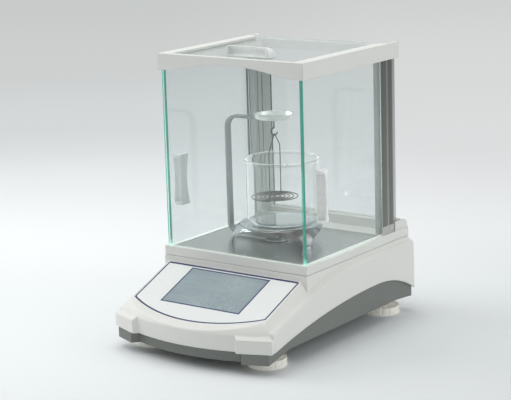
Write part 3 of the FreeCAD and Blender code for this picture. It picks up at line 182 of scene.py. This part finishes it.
def moulded_skin():
    """Fine grain of moulded plastic, with slow drifts of tone and gloss."""
    board, given, made = shader_group("moulded skin", [("Grain", 2600.0), ("Drift", 14.0)],
                                      [("Height", "Float"), ("Tone", "Float"), ("Gloss", "Float")])
    where = board.place()
    grain = board.speckle(where, given["Grain"], 2.0, 0.6)
    board.feed(made["Height"], grain)
    slow = board.speckle(where, given["Drift"], 4.0, 0.55)
    board.feed(made["Tone"], board.spread(slow, -1.0, 1.0, 0.3, 0.7))
    cloudy = board.speckle(where, board.sum("MULTIPLY", given["Drift"], 5.0), 3.0, 0.6)
    board.feed(made["Gloss"], board.spread(cloudy, -1.0, 1.0, 0.3, 0.7))


def drawn_lines():
    """Long fine lines left by brushing, rolling or drawing metal."""
    board, given, made = shader_group("drawn lines", [("Stretch", (1.0, 1.0, 1.0)), ("Lines", 900.0)],
                                      [("Height", "Float"), ("Tone", "Float")])
    here = board.add("ShaderNodeTexCoord").outputs["Object"]
    stretched = board.add("ShaderNodeVectorMath", {0: here, 1: given["Stretch"]}, operation="MULTIPLY")
    where = stretched.outputs[0]
    fine = board.speckle(where, given["Lines"], 4.0, 0.65)
    coarse = board.speckle(where, board.sum("MULTIPLY", given["Lines"], 0.18), 2.0, 0.5)
    both = board.sum("MULTIPLY_ADD", coarse, 0.5, board.sum("MULTIPLY", fine, 0.5))
    board.feed(made["Height"], fine)
    board.feed(made["Tone"], board.spread(both, -1.0, 1.0, 0.35, 0.65))


def rounded_edge():
    """A small radius along sharp edges, and a mask of where it is."""
    board, given, made = shader_group("rounded edge", [("Radius", 0.0008)],
                                      [("Normal", "Vector"), ("Edge", "Float")])
    soft = board.add("ShaderNodeBevel", {"Radius": given["Radius"]}, samples=6).outputs["Normal"]
    flat = board.add("ShaderNodeNewGeometry").outputs["Normal"]
    agree = board.add("ShaderNodeVectorMath", {0: soft, 1: flat}, operation="DOT_PRODUCT").outputs["Value"]
    board.feed(made["Normal"], soft)
    board.feed(made["Edge"], board.spread(agree, 0.0, 1.0, 0.995, 0.8))


def settled_dust():
    """Thin dust and haze on faces that look up."""
    board, given, made = shader_group("settled dust", [("Amount", 0.3), ("Patches", 60.0)],
                                      [("Mask", "Float")])
    normal = board.add("ShaderNodeNewGeometry").outputs["Normal"]
    up = board.add("ShaderNodeSeparateXYZ", {0: normal}).outputs["Z"]
    lying = board.spread(up, 0.0, 1.0, 0.3, 1.0)
    patches = board.spread(board.speckle(board.place(), given["Patches"], 5.0, 0.7), 0.0, 1.0, 0.4, 0.75)
    board.feed(made["Mask"], board.sum("MULTIPLY", board.sum("MULTIPLY", lying, patches), given["Amount"]))


def wiped_haze():
    """Faint wipe marks and finger haze on polished faces."""
    board, given, made = shader_group("wiped haze", [("Size", 22.0)], [("Mask", "Float")])
    broad = board.speckle(board.place((1.0, 1.0, 0.35)), given["Size"], 4.0, 0.6)
    fine_size = board.sum("MULTIPLY", given["Size"], 9.0)
    streaks = board.speckle(board.place((1.0, 1.0, 0.08)), fine_size, 3.0, 0.6)
    marks = board.sum("MULTIPLY", board.spread(broad, 0.0, 1.0, 0.45, 0.75),
                      board.spread(streaks, 0.2, 1.0, 0.35, 0.7))
    board.feed(made["Mask"], marks)


for effect in (moulded_skin, drawn_lines, rounded_edge, settled_dust, wiped_haze):
    effect()


# ---------------------------------------------------------------- finishes

def new_finish(name):
    """A material with a Principled surface, and the board its nodes go on."""
    material = bpy.data.materials.new(name)
    material.use_nodes = True
    board = Board(material.node_tree)
    board.tree.nodes.clear()
    surface = board.add("ShaderNodeBsdfPrincipled")
    board.add("ShaderNodeOutputMaterial", {"Surface": surface.outputs[0]})
    return material, board, surface


def set_on(board, surface, **values):
    """Feeds the surface's sockets, each named with _ for a space."""
    for label, value in values.items():
        socket = surface.inputs[label.replace("_", " ")]
        board.feed(socket, value if isinstance(value, (bpy.types.NodeSocket, int, float)) else rgba(value))


def toned(board, colour, tone, amount):
    """The colour, a little lighter and darker with tone."""
    dark = [part * (1 - amount) for part in colour]
    return board.blend(board.spread(tone, 0.0, 1.0, -1.0, 1.0), dark, paler(colour, amount))


def paler(colour, amount):
    """The colour, lighter by a share of itself."""
    return [min(1.0, part * (1 + amount)) for part in colour]


def bumped(board, height, strength, distance, under=None):
    """The surface's own normal, or the one given, roughened by a height."""
    feeds = {"Height": height, "Strength": strength, "Distance": distance}
    if under is not None:
        feeds["Normal"] = under
    return board.add("ShaderNodeBump", feeds).outputs["Normal"]


def moulded(name, colour, roughness, radius, grain=2600.0, depth=0.02 * MM, dust=0.12, edge=0.08,
            drift=0.012, specular=0.4):
    """Opaque moulded plastic: radius rounds its edges, and depth is that of its grain."""
    material, board, surface = new_finish(name)
    skin = use(board, "moulded skin", Grain=grain)
    edges = use(board, "rounded edge", Radius=radius)
    dusty = use(board, "settled dust", Amount=dust)["Mask"]
    base = toned(board, colour, skin["Tone"], drift)
    # edges painted paler by the share edge: a painted highlight along the rounded edges
    base = board.blend(edges["Edge"], base, paler(colour, edge))
    base = board.blend(dusty, base, DUST)
    rough = board.sum("MULTIPLY_ADD", skin["Gloss"], 0.04, roughness)
    rough = board.sum("MULTIPLY_ADD", dusty, 0.3, rough)
    set_on(board, surface, Base_Color=base, Roughness=rough, Specular_IOR_Level=specular,
           Normal=bumped(board, skin["Height"], 0.35, depth, edges["Normal"]))
    return material


def milky(material, weight, reach, glow, strength):
    """Lets light sink into a pale plastic, and adds a faint painted glow as if a little of it came out
    again.
    """
    surface = material.node_tree.nodes["Principled BSDF"]
    surface.inputs["Subsurface Weight"].default_value = weight
    surface.inputs["Subsurface Radius"].default_value = reach
    surface.inputs["Emission Color"].default_value = rgba(glow)
    surface.inputs["Emission Strength"].default_value = strength


def drawn_metal(name, colour, roughness, stretch, lines=900.0, depth=0.02 * MM, contrast=0.12,
                radius=0.3 * MM, haze=0.3, gloss=0.06, metallic=1.0):
    """Metal with drawn or brushed lines, which run along the axis with the smallest stretch."""
    material, board, surface = new_finish(name)
    brushed = use(board, "drawn lines", Stretch=stretch, Lines=lines)
    edges = use(board, "rounded edge", Radius=radius)
    marks = use(board, "wiped haze", Size=40.0)["Mask"]
    base = toned(board, colour, brushed["Tone"], contrast)
    # edges painted paler: a painted highlight along the rounded edges
    base = board.blend(edges["Edge"], base, paler(colour, 0.35))
    rough = board.sum("MULTIPLY_ADD", brushed["Tone"], gloss, roughness)
    rough = board.sum("MULTIPLY_ADD", marks, haze * 0.3, rough)
    set_on(board, surface, Base_Color=base, Roughness=rough, Metallic=metallic,
           Normal=bumped(board, brushed["Height"], 0.3, depth, edges["Normal"]))
    return material


def housing_white():
    return moulded("housing white", (0.835, 0.836, 0.800), roughness=0.42, radius=2.2 * MM)


def frame_white():
    return moulded("frame white", (0.812, 0.816, 0.784), roughness=0.40, radius=1.0 * MM)


def casing_grey():
    return moulded("casing grey", (0.215, 0.226, 0.213), roughness=0.55, radius=0.8 * MM, grain=1500.0,
                   depth=0.05 * MM, dust=0.05, edge=0.35, drift=0.03, specular=0.3)


def post_foot_grey():
    return moulded("post foot grey", (0.53, 0.54, 0.515), roughness=0.5, radius=0.4 * MM)


def wheel_ivory():
    material = moulded("wheel ivory", (0.88, 0.87, 0.81), roughness=0.45, radius=0.4 * MM, grain=900.0,
                       depth=0.04 * MM, dust=0.25, edge=0.1, drift=0.05)
    # a faint painted glow on top of the subsurface light
    milky(material, weight=0.15, reach=(4.0 * MM, 3.5 * MM, 2.5 * MM), glow=(0.9, 0.88, 0.80),
          strength=0.12)
    return material


def grip_grey():
    """Milky moulded plastic, with painted shade inside the finger scoop."""
    material = moulded("grip grey", (0.93, 0.935, 0.93), roughness=0.28, radius=1.2 * MM, grain=700.0,
                       depth=0.01 * MM, dust=0.1, specular=0.5)
    # a faint painted glow on top of the subsurface light
    milky(material, weight=0.2, reach=(4.0 * MM, 4.0 * MM, 4.0 * MM), glow=(0.9, 0.92, 0.92),
          strength=0.05)
    board = Board(material.node_tree)
    surface = material.node_tree.nodes["Principled BSDF"]
    plain = surface.inputs["Base Color"].links[0].from_socket
    # painted shade: the colour darkens where ambient occlusion finds the finger scoop closed in
    openness = board.add("ShaderNodeAmbientOcclusion", {"Distance": 10 * MM}, samples=12).outputs["AO"]
    base = board.blend(board.spread(openness, 0.0, 1.0, 0.45, 0.95), (0.80, 0.825, 0.815), plain)
    set_on(board, surface, Base_Color=base)
    return material


def socket_black():
    return moulded("socket black", (0.025, 0.025, 0.027), roughness=0.45, radius=0.4 * MM, edge=0.8,
                   drift=0.1)


def screen_module():
    return moulded("screen module", (0.22, 0.25, 0.24), roughness=0.6, radius=0.4 * MM)


def post_alloy():
    """Extruded alloy: fine lines along it, and the light and shade of shallow grooves down the outer side
    faces painted in as bands.
    """
    material, board, surface = new_finish("post alloy")
    brushed = use(board, "drawn lines", Stretch=(1.0, 1.0, 0.012), Lines=900.0)
    edges = use(board, "rounded edge", Radius=0.4 * MM)
    here = board.spot()
    low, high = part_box("right_guide")
    # painted shade and highlights: dark and light bands across the outer side faces, standing in for the
    # shading of shallow grooves
    painted_groove_shading = board.ramp(board.spread(here["Y"], 0.0, 1.0, low[1], high[1]),
                          [(0.0, (0.13, 0.135, 0.125)), (0.42, (0.15, 0.152, 0.14)),
                           (0.54, (0.29, 0.30, 0.285)), (0.66, (0.13, 0.135, 0.125)),
                           (0.9, (0.14, 0.145, 0.135)), (1.0, (0.30, 0.32, 0.30))])
    sideways = board.spread(board.sum("ABSOLUTE", board.facing("X")), 0.0, 1.0, 0.4, 0.6)
    outer = board.spread(board.sum("ABSOLUTE", here["X"]), 0.0, 1.0, low[0] - SLACK, low[0] + SLACK)
    tone = board.blend(board.sum("MULTIPLY", outer, sideways), (0.42, 0.445, 0.425), painted_groove_shading)
    paler_down = board.spread(here["Z"], 1.45, 0.88, low[2], high[2])
    streak = board.sum("MULTIPLY_ADD", brushed["Tone"], 0.05, paler_down)
    grey = board.add("ShaderNodeCombineColor", {0: streak, 1: streak, 2: streak}).outputs[0]
    base = board.blend(1.0, tone, grey, "MULTIPLY")
    rough = board.sum("MULTIPLY_ADD", brushed["Tone"], 0.06, 0.42)
    set_on(board, surface, Base_Color=base, Roughness=rough, Metallic=0.7,
           Normal=bumped(board, brushed["Height"], 0.3, 0.02 * MM, edges["Normal"]))
    return material


def floor_steel():
    return drawn_metal("floor steel", (0.55, 0.57, 0.555), roughness=0.25, stretch=(0.015, 1.0, 1.0),
                       depth=0.001 * MM, contrast=0.015, haze=0.15, gloss=0.01)


def strip_steel():
    return drawn_metal("strip steel", (0.37, 0.40, 0.395), roughness=0.36, stretch=(0.05, 1.0, 0.05),
                       lines=1300.0, contrast=0.08, radius=0.6 * MM)


def kit_steel():
    return drawn_metal("kit steel", (0.50, 0.52, 0.50), roughness=0.34, stretch=(1.0, 1.0, 1.0),
                       lines=700.0, depth=0.006 * MM, contrast=0.06, radius=0.6 * MM)


def dish_steel():
    """Pressed sheet: a satin floor, with walls and rim painted brighter as a highlight."""
    material, board, surface = new_finish("dish steel")
    brushed = use(board, "drawn lines", Stretch=(1.0, 1.0, 1.0), Lines=500.0)
    edges = use(board, "rounded edge", Radius=0.6 * MM)
    # painted highlight: faces that do not lie level, the walls and rim, get a near-white colour
    level = board.spread(board.facing("Z"), 0.0, 1.0, 0.90, 0.99)
    sheet = board.blend(level, (0.95, 0.97, 0.95), (0.58, 0.60, 0.585))
    tone = board.spread(brushed["Tone"], 0.95, 1.05, -1.0, 1.0)
    set_on(board, surface, Base_Color=sheet, Roughness=board.sum("MULTIPLY", tone, 0.34), Metallic=0.8,
           Normal=edges["Normal"])
    return material


def wire_steel():
    return drawn_metal("wire steel", (0.155, 0.148, 0.135), roughness=0.45, stretch=(1.0, 1.0, 1.0),
                       depth=0.004 * MM, contrast=0.1, radius=0.1 * MM, metallic=0.6)


def stud_steel():
    return drawn_metal("stud steel", (0.58, 0.58, 0.56), roughness=0.32, stretch=(1.0, 1.0, 6.0),
                       lines=160.0, contrast=0.1)


def insert_brass():
    return drawn_metal("insert brass", (0.68, 0.50, 0.22), roughness=0.3, stretch=(1.0, 1.0, 8.0),
                       lines=180.0)


def cell_alloy():
    return drawn_metal("cell alloy", (0.66, 0.67, 0.68), roughness=0.36, stretch=(1.0, 0.05, 1.0),
                       lines=500.0, contrast=0.08)


def magnet_steel():
    return drawn_metal("magnet steel", (0.33, 0.33, 0.34), roughness=0.4, stretch=(1.0, 1.0, 1.0),
                       contrast=0.1)


def coil_copper():
    return drawn_metal("coil copper", (0.62, 0.27, 0.13), roughness=0.3, stretch=(0.05, 0.05, 1.0),
                       lines=2200.0, depth=0.08 * MM, contrast=0.2)


def board_green():
    """Solder mask over copper tracks."""
    material, board, surface = new_finish("board green")
    tracks = board.add("ShaderNodeTexBrick", {"Vector": board.place(), "Scale": 260.0, "Mortar Size": 0.03,
                                              "Color1": rgba(0.0), "Color2": rgba(0.25),
                                              "Mortar": rgba(1.0)}).outputs["Color"]
    mask = board.blend(tracks, (0.015, 0.13, 0.055), (0.03, 0.24, 0.10))
    skin = use(board, "moulded skin", Grain=1800.0)
    rough = board.sum("MULTIPLY_ADD", skin["Gloss"], 0.05, 0.3)
    set_on(board, surface, Base_Color=mask, Roughness=rough, Normal=bumped(board, tracks, 0.4, 0.05 * MM))
    return material


def stand_steel():
    """Mirror-polished pressed steel: a faint waviness, and painted reflections of a bright mirror, light
    and dark with the way the surface faces.
    """
    material, board, surface = new_finish("stand steel")
    waves = board.speckle(board.place(), 70.0, 2.0, 0.4)
    normal = board.add("ShaderNodeTexCoord").outputs["Normal"]
    # painted reflections: the colour runs light and dark with the surface's facing against a fixed
    # direction
    reflection_axis = (0.55, -0.62, 0.55)
    turned = board.add("ShaderNodeVectorMath", {0: normal, 1: reflection_axis},
                       operation="DOT_PRODUCT").outputs["Value"]
    lean = board.sum("MULTIPLY_ADD", waves, 0.5, turned)
    painted_reflections = board.ramp(board.spread(lean, 0.0, 1.0, -0.8, 1.4),
                       [(0.0, (0.30, 0.33, 0.35)), (0.28, (0.62, 0.67, 0.70)), (0.42, (0.22, 0.25, 0.28)),
                        (0.56, (0.70, 0.74, 0.76)), (0.72, (0.66, 0.71, 0.74)), (0.88, (0.12, 0.11, 0.10))])
    marks = use(board, "wiped haze", Size=60.0)["Mask"]
    base = board.blend(board.sum("MULTIPLY", marks, 0.4), painted_reflections, (0.55, 0.58, 0.60))
    rough = board.sum("MULTIPLY_ADD", marks, 0.08, 0.06)
    set_on(board, surface, Base_Color=base, Roughness=rough, Metallic=1.0,
           Normal=bumped(board, waves, 0.25, 0.4 * MM))
    return material


def up_panel(point):
    """How far a point lies up the sloping panel."""
    return point[1] * math.cos(PANEL_SLOPE) + point[2] * math.sin(PANEL_SLOPE)


def panel_outline(node):
    """Half width, upper end, lower end and lower end at the sides of a plate on the panel."""
    corners = [vertex.co for vertex in nodes[node].data.vertices]
    half = max(corner.x for corner in corners)
    runs = [up_panel(corner) for corner in corners]
    side = min(run for run, corner in zip(runs, corners) if corner.x > half - SLACK)
    return half, max(runs), min(runs), side


def film_white():
    """Printed polyester film: white, with a dark blue line round its rim and its window."""
    material, board, surface = new_finish("film white")
    half, top, apex, side = panel_outline("display_overlay")
    window_half, window_top, window_low, _ = panel_outline("touch_glass")
    here = board.spot()
    across = board.sum("ABSOLUTE", here["X"])
    up = board.sum("ADD", board.sum("MULTIPLY", here["Y"], math.cos(PANEL_SLOPE)),
                   board.sum("MULTIPLY", here["Z"], math.sin(PANEL_SLOPE)))
    sag = side - apex
    radius = (half * half + sag * sag) / (2 * sag)
    from_centre = board.sum("SUBTRACT", up, apex + radius)
    squares = board.sum("ADD", board.sum("POWER", across, 2.0), board.sum("POWER", from_centre, 2.0))
    to_side = board.sum("SUBTRACT", half, across)
    to_top = board.sum("SUBTRACT", top, up)
    to_arc = board.sum("SUBTRACT", radius, board.sum("SQRT", squares))
    beyond_side = board.sum("SUBTRACT", across, window_half)
    beyond_top = board.sum("SUBTRACT", up, window_top)
    beyond_low = board.sum("SUBTRACT", window_low, up)
    to_window = board.sum("MAXIMUM", beyond_side, board.sum("MAXIMUM", beyond_top, beyond_low))

    def line(distance, width):
        """Printed from the given edge inwards, with a slightly soft end."""
        return board.spread(distance, 1.0, 0.0, width, width + PRINT_BLUR)

    rim = board.sum("MAXIMUM", line(to_side, RIM_LINE), line(to_arc, RIM_LINE))
    rim = board.sum("MAXIMUM", rim, line(to_top, TOP_LINE))
    print_mask = board.sum("MAXIMUM", rim, line(to_window, WINDOW_LINE))
    skin = use(board, "moulded skin", Grain=5200.0, Drift=9.0)
    white = toned(board, (0.868, 0.894, 0.886), skin["Tone"], 0.008)
    base = board.blend(print_mask, white, (0.030, 0.035, 0.135))
    rough = board.sum("MULTIPLY_ADD", skin["Gloss"], 0.05, 0.32)
    set_on(board, surface, Base_Color=base, Roughness=rough, Specular_IOR_Level=0.5,
           Normal=bumped(board, skin["Height"], 0.2, 0.008 * MM))
    return material


def screen_glass():
    """The unlit display behind an anti-glare touch glass."""
    material, board, surface = new_finish("screen glass")
    clouds = board.speckle(board.place((0.7, 1.2, 1.2)), 15.0, 3.0, 0.45)
    streaks = board.speckle(board.place((0.12, 1.0, 1.0)), 300.0, 3.0, 0.6)
    base = board.ramp(clouds, [(0.3, (0.245, 0.315, 0.355)), (0.5, (0.295, 0.365, 0.40)),
                               (0.72, (0.365, 0.43, 0.45))])
    base = board.blend(board.spread(streaks, 0.0, 0.18, 0.4, 0.7), base, (0.52, 0.57, 0.57))
    marks = use(board, "wiped haze", Size=30.0)["Mask"]
    rough = board.sum("MULTIPLY_ADD", marks, 0.12, 0.24)
    set_on(board, surface, Base_Color=base, Roughness=rough, Specular_IOR_Level=0.5,
           Coat_Weight=0.6, Coat_Roughness=0.12)
    return material


def see_through(board, surface, tint):
    """Lets light reach what the glass covers: shadow and diffuse rays pass with only a tint."""
    passing = board.add("ShaderNodeBsdfTransparent", {"Color": rgba(tint)})
    ray = board.add("ShaderNodeLightPath").outputs
    share = board.sum("MAXIMUM", ray["Is Shadow Ray"], ray["Is Diffuse Ray"])
    mixed = board.add("ShaderNodeMixShader", {0: share, 1: surface.outputs[0], 2: passing.outputs[0]})
    board.feed(board.surface_output().inputs["Surface"], mixed.outputs[0])


def pane_glass(thin):
    """Float glass: nearly clear faces, teal cut edges, and a painted glow: teal at the cut edges, strongest
    round the chamber's front, and pale at the panes' feet.

    thin names the axis along which the pane is thin."""
    material, board, surface = new_finish("pane glass " + thin)
    cut_edge = board.spread(board.sum("ABSOLUTE", board.facing(thin)), 1.0, 0.0, 0.3, 0.7)
    here = board.spot()
    deck_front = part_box("chamber_deck")[0][1]
    front = board.spread(here["Y"], 1.0, 0.0, *(deck_front + depth for depth in FRONT_FADE))
    plate_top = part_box("floor_plate")[1][2]
    foot = board.spread(here["Z"], 1.0, 0.0, *(plate_top + height for height in FOOT_FADE))
    marks = use(board, "wiped haze", Size=12.0)["Mask"]
    face = board.blend(marks, (0.905, 0.932, 0.932), (0.885, 0.915, 0.912))
    # the cut edges' own teal, deepened round the chamber's front as painted light
    edge = board.blend(front, (0.72, 0.86, 0.82), (0.16, 0.62, 0.52))
    base = board.blend(cut_edge, face, edge)
    rough = board.sum("MULTIPLY_ADD", cut_edge, 0.25, board.sum("MULTIPLY", marks, 0.02))
    # painted glow: teal at the cut edges, strongest round the chamber's front, and pale at the feet of the
    # panes
    glow = board.blend(cut_edge, BLACK, board.blend(front, SIDE_GLOW, EDGE_GLOW))
    glow = board.blend(foot, glow, FOOT_GLOW)
    set_on(board, surface, Base_Color=base, Roughness=rough, Metallic=0.0, Transmission_Weight=1.0,
           IOR=1.5, Emission_Color=glow, Emission_Strength=1.0)
    see_through(board, surface, (0.955, 0.97, 0.965))
    return material


def beaker_glass():
    """Blown glass, with a painted pale glow at its lip and where the wall is seen edge on."""
    material, board, surface = new_finish("beaker glass")
    marks = use(board, "wiped haze", Size=30.0)["Mask"]
    base = board.blend(marks, (0.99, 1.0, 0.995), (0.97, 0.985, 0.98))
    rough = board.sum("MULTIPLY", marks, 0.03)
    grazing = board.add("ShaderNodeLayerWeight", {"Blend": 0.5}).outputs["Facing"]
    rim = board.spread(grazing, 0.0, 0.40, 0.67, 1.0)
    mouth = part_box("beaker")[1][2]
    lip = board.spread(board.spot()["Z"], 0.0, 0.28, *(mouth - depth for depth in LIP_FADE))
    # painted highlight: a pale glow where the wall is seen edge on and at the lip
    gleam = board.blend(board.sum("MAXIMUM", rim, lip), BLACK, (0.88, 0.93, 0.91))
    set_on(board, surface, Base_Color=base, Roughness=rough, Metallic=0.0, Transmission_Weight=1.0,
           IOR=1.42, Emission_Color=gleam, Emission_Strength=1.0)
    see_through(board, surface, (0.95, 0.97, 0.96))
    return material


# the makers of all finishes, by name; a material slot's name is that of its finish
FINISHES = {make.__name__: make for make in (
    housing_white, casing_grey, frame_white, post_alloy, post_foot_grey, pane_glass, grip_grey, floor_steel,
    film_white, screen_glass, screen_module, board_green, strip_steel, kit_steel, dish_steel, wire_steel,
    stand_steel, beaker_glass, wheel_ivory, stud_steel, insert_brass, cell_alloy, magnet_steel, coil_copper,
    socket_black)}

# pieces that have another finish than the rest of their slot
OWN_FINISH = {
    "hanger_hook": "wire_steel",
    "basket_coil": "wire_steel",
    "basket_bail": "wire_steel",
    "sample_dish": "dish_steel",
}


def thin_axis(node):
    """The axis along which a plate is thinnest."""
    low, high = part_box(node)
    return min(zip(high - low, "XYZ"))[1]


def dress_frame():
    """Gives every CAD piece the finish of its material slot, or its own."""
    made = {}
    for row in frame["record"]["subparts"]:
        node, slot = row["node"], row["material_slot"]
        finish = OWN_FINISH.get(node, slot)
        details = (thin_axis(node),) if finish == "pane_glass" else ()
        if (finish, details) not in made:
            made[finish, details] = FINISHES[finish](*details)
        piece = nodes[node]
        piece.data.materials.clear()
        piece.data.materials.append(made[finish, details])


# ---------------------------------------------------------------- floor, light and camera

def seen_rays(board):
    """1 on rays that show a surface, directly, mirrored or through glass; 0 on those that only light."""
    ray = board.add("ShaderNodeLightPath").outputs
    return board.sum("MAXIMUM", ray["Is Camera Ray"],
                     board.sum("MAXIMUM", ray["Is Glossy Ray"], ray["Is Transmission Ray"]))


def across_view(board):
    """How far back, and how far to the right, a point of the floor lies as the balance is seen."""
    here = board.spot()
    cosine, sine = math.cos(VIEW_TURN), math.sin(VIEW_TURN)

    def along(x_share, y_share):
        return board.sum("ADD", board.sum("MULTIPLY", here["X"], x_share),
                         board.sum("MULTIPLY", here["Y"], y_share))

    return along(-sine, cosine), along(cosine, sine)


def paper(board, back, right):
    """Tone of the paper round the balance, from near to far on its left and on its right, with light and
    shade painted in.
    """
    near = board.spread(back, 0.0, 1.0, -0.4, 1.2)
    # light and shade painted into the paper: darker near the front of the balance and much darker on its
    # right, as a painted broad shadow; paler on its left
    left_tone = board.ramp(near, [(0.0, (0.85, 0.88, 0.885)), (0.3, (0.90, 0.93, 0.94)),
                                  (0.6, (0.93, 0.95, 0.955)), (1.0, (0.90, 0.92, 0.92))])
    right_tone = board.ramp(near, [(0.0, (0.72, 0.745, 0.755)), (0.3, (0.80, 0.83, 0.845)),
                                   (0.6, (0.88, 0.90, 0.91)), (1.0, (0.84, 0.85, 0.85))])
    return board.blend(right, left_tone, right_tone)


def backdrop(board, back, right):
    """Tone of the paper far behind the balance, with a painted fall of light: darker with distance, and
    darker on the right.
    """
    far = board.spread(back, 0.0, 1.0, 0.5, 3.8)
    left_tone = board.ramp(far, [(0.0, (0.87, 0.885, 0.89)), (0.1, (0.80, 0.825, 0.83)),
                                 (0.28, (0.67, 0.69, 0.695)), (0.52, (0.615, 0.63, 0.63)),
                                 (1.0, (0.575, 0.595, 0.59))])
    right_tone = board.ramp(far, [(0.0, (0.76, 0.77, 0.785)), (0.2, (0.715, 0.725, 0.73)),
                                  (0.45, (0.685, 0.695, 0.695)), (1.0, (0.625, 0.635, 0.63))])
    return board.blend(right, left_tone, right_tone)


def pale_floor():
    """A seamless paper floor, wide enough to fill the view.

    Near the balance it takes light and shadow; far behind it glows as a backdrop with a painted fall of
    light."""
    bpy.ops.mesh.primitive_plane_add(size=FLOOR_WIDTH, location=(0.0, 0.0, 0.0))
    floor = bpy.context.object
    floor.name = "paper_floor"
    material, board, surface = new_finish("floor paper")
    back, side = across_view(board)
    right = board.spread(side, 0.0, 1.0, -0.25, 0.35)
    fleck = board.speckle(board.place(), 260.0, 3.0, 0.6)
    set_on(board, surface, Base_Color=paper(board, back, right), Roughness=board.spread(fleck, 0.55, 0.7),
           Specular_IOR_Level=0.15, Normal=bumped(board, fleck, 0.05, 0.1 * MM))
    # painted fall of light on the far paper, seen as a glow
    lit = board.add("ShaderNodeEmission", {"Color": backdrop(board, back, right), "Strength": 1.0})
    share = board.sum("MULTIPLY", seen_rays(board), board.spread(back, 0.0, 1.0, 0.45, 1.1))
    mixed = board.add("ShaderNodeMixShader", {0: share, 1: surface.outputs[0], 2: lit.outputs[0]})
    board.feed(board.surface_output().inputs["Surface"], mixed.outputs[0])
    floor.data.materials.append(material)


def studio_world():
    """Pale surroundings: one tone where they are seen, and for light a brighter horizon and a dim front."""
    world = bpy.data.worlds.new("studio")
    bpy.context.scene.world = world
    world.use_nodes = True
    board = Board(world.node_tree)
    board.tree.nodes.clear()
    generated = board.add("ShaderNodeTexCoord").outputs["Generated"]
    way = board.add("ShaderNodeSeparateXYZ", {0: generated}).outputs
    tone = board.ramp(way["Z"], [(0.0, (0.60, 0.605, 0.605)), (0.35, (0.50, 0.505, 0.505)),
                                 (1.0, (0.46, 0.465, 0.465))])
    tone = board.blend(board.spread(way["Y"], 0.45, 0.0, -1.0, 0.0), tone, (0.15, 0.15, 0.15))
    sky = board.add("ShaderNodeBackground", {"Color": tone, "Strength": 1.0})
    wall = board.add("ShaderNodeBackground", {"Color": rgba((0.66, 0.69, 0.685)), "Strength": 1.0})
    mixed = board.add("ShaderNodeMixShader", {0: seen_rays(board), 1: sky.outputs[0], 2: wall.outputs[0]})
    board.add("ShaderNodeOutputWorld", {"Surface": mixed.outputs[0]})


def put(name, data, place, target, roll=0.0):
    """Hangs a lamp or camera at a place, looking at a target, rolled by an angle about its own axis."""
    holder = bpy.data.objects.new(name, data)
    bpy.context.scene.collection.objects.link(holder)
    holder.location = place
    holder.rotation_mode = "QUATERNION"
    aim = (Vector(target) - Vector(place)).to_track_quat("-Z", "Y")
    holder.rotation_quaternion = aim @ Quaternion(Vector((0.0, 0.0, 1.0)), roll)
    return holder


def soft_lamp(name, place, target, size, power):
    """An area lamp of the given width, height and power, turned to a target."""
    lamp = bpy.data.lights.new(name, "AREA")
    lamp.shape = "RECTANGLE"
    lamp.size, lamp.size_y = size
    lamp.energy = power
    put(name, lamp, place, target)


def studio_lights():
    """A large box overhead, and one on each side."""
    soft_lamp("overhead_box", place=(-0.3, 0.1, 2.0), target=(0.0, 0.0, 0.1), size=(1.6, 1.6), power=18.0)
    soft_lamp("left_box", place=(-2.0, -0.5, 1.2), target=(0.0, -0.1, 0.05), size=(1.2, 1.2), power=17.0)
    soft_lamp("right_box", place=(2.4, 0.6, 1.0), target=(0.0, 0.0, 0.15), size=(1.2, 1.6), power=12.0)


def viewpoint():
    """The camera, at the height and turn from which the balance is usually seen."""
    camera = bpy.data.cameras.new("viewpoint")
    camera.sensor_width = 36.0
    camera.lens = 118.71
    camera.clip_start, camera.clip_end = 0.05, 60.0
    bpy.context.scene.camera = put("viewpoint", camera, place=(1.12006, -1.53575, 0.58360),
                                   target=(-0.040915, 0.043621, 0.142033), roll=math.radians(-1.708))


dress_frame()
pale_floor()
studio_world()
studio_lights()
viewpoint()
bpy.context.scene.view_settings.view_transform = "Standard"
